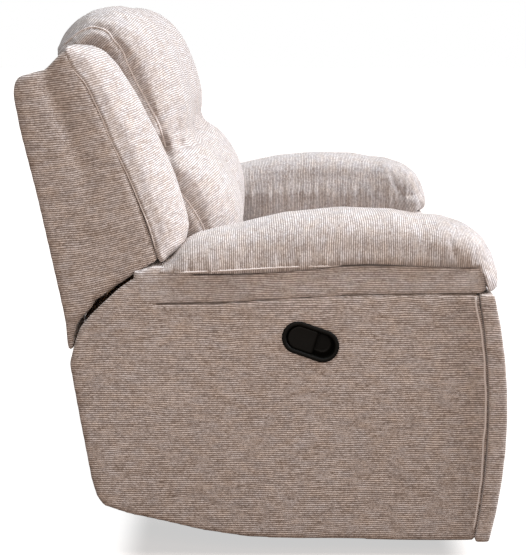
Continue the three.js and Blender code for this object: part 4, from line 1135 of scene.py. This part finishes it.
pad_stripes = stripes_fanned(PAD_FAN_START_Y, PAD_FAN_FOOT_Z, PAD_FAN_LEAN)
both_sides("arm_side_panel", arm_side_panel, stripes_level)
both_sides("arm_border", arm_border, stripes_level)
both_sides("arm_pad arm_inner_panel", arm_pad, pad_stripes)
both_sides("arm_facing", arm_facing, stripes_level)
both_sides("back_rear_panel back_wing", back_shell, stripes_bowed(*SHELL_STRIPES))
both_sides("wing_bolster", wing_bolster, stripes_bowed(*BOLSTER_STRIPES))
both_sides("head_cushion lumbar_cushion", back_cushion, stripes_of_back_cushion)
both_sides("seat_cushion", seat_cushion, stripes_upright)
both_sides("seat_front_rail", softened(*BOARD_MESH), stripes_level)
both_sides("ottoman_pad", ottoman_pad, stripes_level)
both_sides("handle_cup", softened(*HANDLE_MESH), stripes_level)
both_sides("handle_paddle", softened(*HANDLE_MESH), stripes_level)
apron = softened(*BOARD_MESH)("rear_apron")
apron.name = "rear_apron_cover"
finish_piece(apron, ["rear_apron"], stripes_level)

for node, carried in frame["nodes"].items():
    finish = CARRIED_FINISHES.get(slot_of_node(node))
    if finish:
        carried.data.materials.clear()
        carried.data.materials.append(finish)


# Floor, light and camera

FLOOR_HALF = 30.0
FLOOR_Z = -0.001
FLOOR_COLOUR = (0.18, 0.14, 0.115, 1)
SHADE_REACH_X = 0.9
SHADE_REACH_Y = 0.365
SHADE_CENTRE_Y = -0.06
SHADE_FADE = 0.08
SHADE_GLOW = 0.58
WHITE = (1, 1, 1, 1)
WARM_LIGHT = (1.0, 0.72, 0.51)
WORLD_STRENGTH = 0.15
KEY = dict(way=(-0.025, -0.83, 0.50), spread_deg=25, strength=4.4, colour=(0.95, 1.0, 1.08))
TOP = dict(way=(-0.04, -0.05, 1.0), spread_deg=50, strength=2.3, colour=(0.85, 1.0, 1.13))
FILL = dict(place=(-2.15, -0.05, 0.95), target=(-0.75, -0.05, 0.5), size=1.0, strength=10.0,
            colour=(1.0, 0.90, 0.85))
CAMERA_CLIP_END = 100


def floor_material():
    """A dark floor with a white glow that only the camera sees, dimmer in a soft patch below the sofa.

    The patch stands in for the sofa's shadow.
    """
    material, tree, shader = new_material("floor_white")
    link = tree.links.new
    set_values(shader, {"Base Color": FLOOR_COLOUR, "Roughness": 1.0, "Specular IOR Level": 0.0})
    place = add_node(tree, "ShaderNodeTexCoord")
    split = add_node(tree, "ShaderNodeSeparateXYZ")
    link(place.outputs["Object"], split.inputs["Vector"])

    def inside(axis, reach, centre):
        """1 within the reach of the centre along the axis, fading to 0 at its end."""
        away = add_math(tree, "ABSOLUTE", add_math(tree, "SUBTRACT", split.outputs[axis], centre))
        edge = add_node(tree, "ShaderNodeMapRange", interpolation_type="SMOOTHSTEP")
        set_values(edge, {"From Min": reach, "From Max": reach - SHADE_FADE})
        link(away, edge.inputs["Value"])
        return edge.outputs["Result"]

    across = inside("X", SHADE_REACH_X, 0.0)
    shade = add_math(tree, "MULTIPLY", across, inside("Y", SHADE_REACH_Y, SHADE_CENTRE_Y))
    level = add_node(tree, "ShaderNodeMapRange")
    set_values(level, {"To Min": 1.0, "To Max": SHADE_GLOW})
    link(shade, level.inputs["Value"])
    rays = add_node(tree, "ShaderNodeLightPath")
    glow = add_node(tree, "ShaderNodeEmission")
    glow.inputs["Color"].default_value = WHITE
    strength = add_math(tree, "MULTIPLY", rays.outputs["Is Camera Ray"], level.outputs["Result"])
    link(strength, glow.inputs["Strength"])
    total = add_node(tree, "ShaderNodeAddShader")
    link(shader.outputs[0], total.inputs[0])
    link(glow.outputs[0], total.inputs[1])
    link(total.outputs[0], tree.nodes["Material Output"].inputs["Surface"])
    return material


def make_floor():
    mesh = bpy.data.meshes.new("floor")
    corners = [(-FLOOR_HALF, -FLOOR_HALF, 0), (FLOOR_HALF, -FLOOR_HALF, 0), (FLOOR_HALF, FLOOR_HALF, 0),
               (-FLOOR_HALF, FLOOR_HALF, 0)]
    mesh.from_pydata(corners, [], [(0, 1, 2, 3)])
    floor = new_object("floor", mesh)
    floor.location.z = FLOOR_Z
    mesh.materials.append(floor_material())


def make_world(strength):
    """A warm sky that lights the sofa, and that the camera sees as white."""
    world = bpy.data.worlds.new("studio")
    bpy.context.scene.world = world
    world.use_nodes = True
    tree = world.node_tree
    sky = tree.nodes["Background"]
    set_values(sky, {"Color": (*WARM_LIGHT, 1), "Strength": strength})
    white = add_node(tree, "ShaderNodeBackground")
    set_values(white, {"Color": WHITE, "Strength": 1.0})
    rays = add_node(tree, "ShaderNodeLightPath")
    mix = add_node(tree, "ShaderNodeMixShader")
    tree.links.new(rays.outputs["Is Camera Ray"], mix.inputs[0])
    tree.links.new(sky.outputs[0], mix.inputs[1])
    tree.links.new(white.outputs[0], mix.inputs[2])
    tree.links.new(mix.outputs[0], tree.nodes["World Output"].inputs["Surface"])


def add_light(name, kind, way, strength, colour):
    """A light whose rays come from the given way."""
    light = bpy.data.lights.new(name, kind)
    light.energy = strength
    light.color = colour
    lamp = new_object(name, light)
    lamp.rotation_euler = (-Vector(way)).to_track_quat("-Z", "Y").to_euler()
    return lamp


def make_sun(name, way, spread_deg, strength, colour):
    lamp = add_light(name, "SUN", way, strength, colour)
    lamp.data.angle = math.radians(spread_deg)


def make_lamp(name, place, target, size, strength, colour):
    lamp = add_light(name, "AREA", Vector(place) - Vector(target), strength, colour)
    lamp.location = place
    lamp.data.shape = "DISK"
    lamp.data.size = size


def make_camera():
    camera = bpy.data.cameras.new("camera")
    camera.sensor_fit = "HORIZONTAL"
    camera.sensor_width = SENSOR_WIDTH_MM
    camera.lens = PHOTO_FOCAL_PX / PHOTO_WIDTH * SENSOR_WIDTH_MM
    camera.clip_end = CAMERA_CLIP_END
    holder = new_object("camera", camera)
    holder.location = CAMERA_PLACE
    pitch = math.radians(CAMERA_PITCH_DEG)
    yaw = math.radians(CAMERA_YAW_DEG)
    ahead = Vector((math.cos(yaw) * math.cos(pitch), -math.sin(yaw) * math.cos(pitch), -math.sin(pitch)))
    holder.rotation_euler = ahead.to_track_quat("-Z", "Y").to_euler()
    bpy.context.scene.camera = holder


make_floor()
make_world(WORLD_STRENGTH)
make_sun("key", **KEY)
make_sun("top", **TOP)
make_lamp("fill", **FILL)
make_camera()
bpy.context.scene.view_settings.view_transform = "Standard"
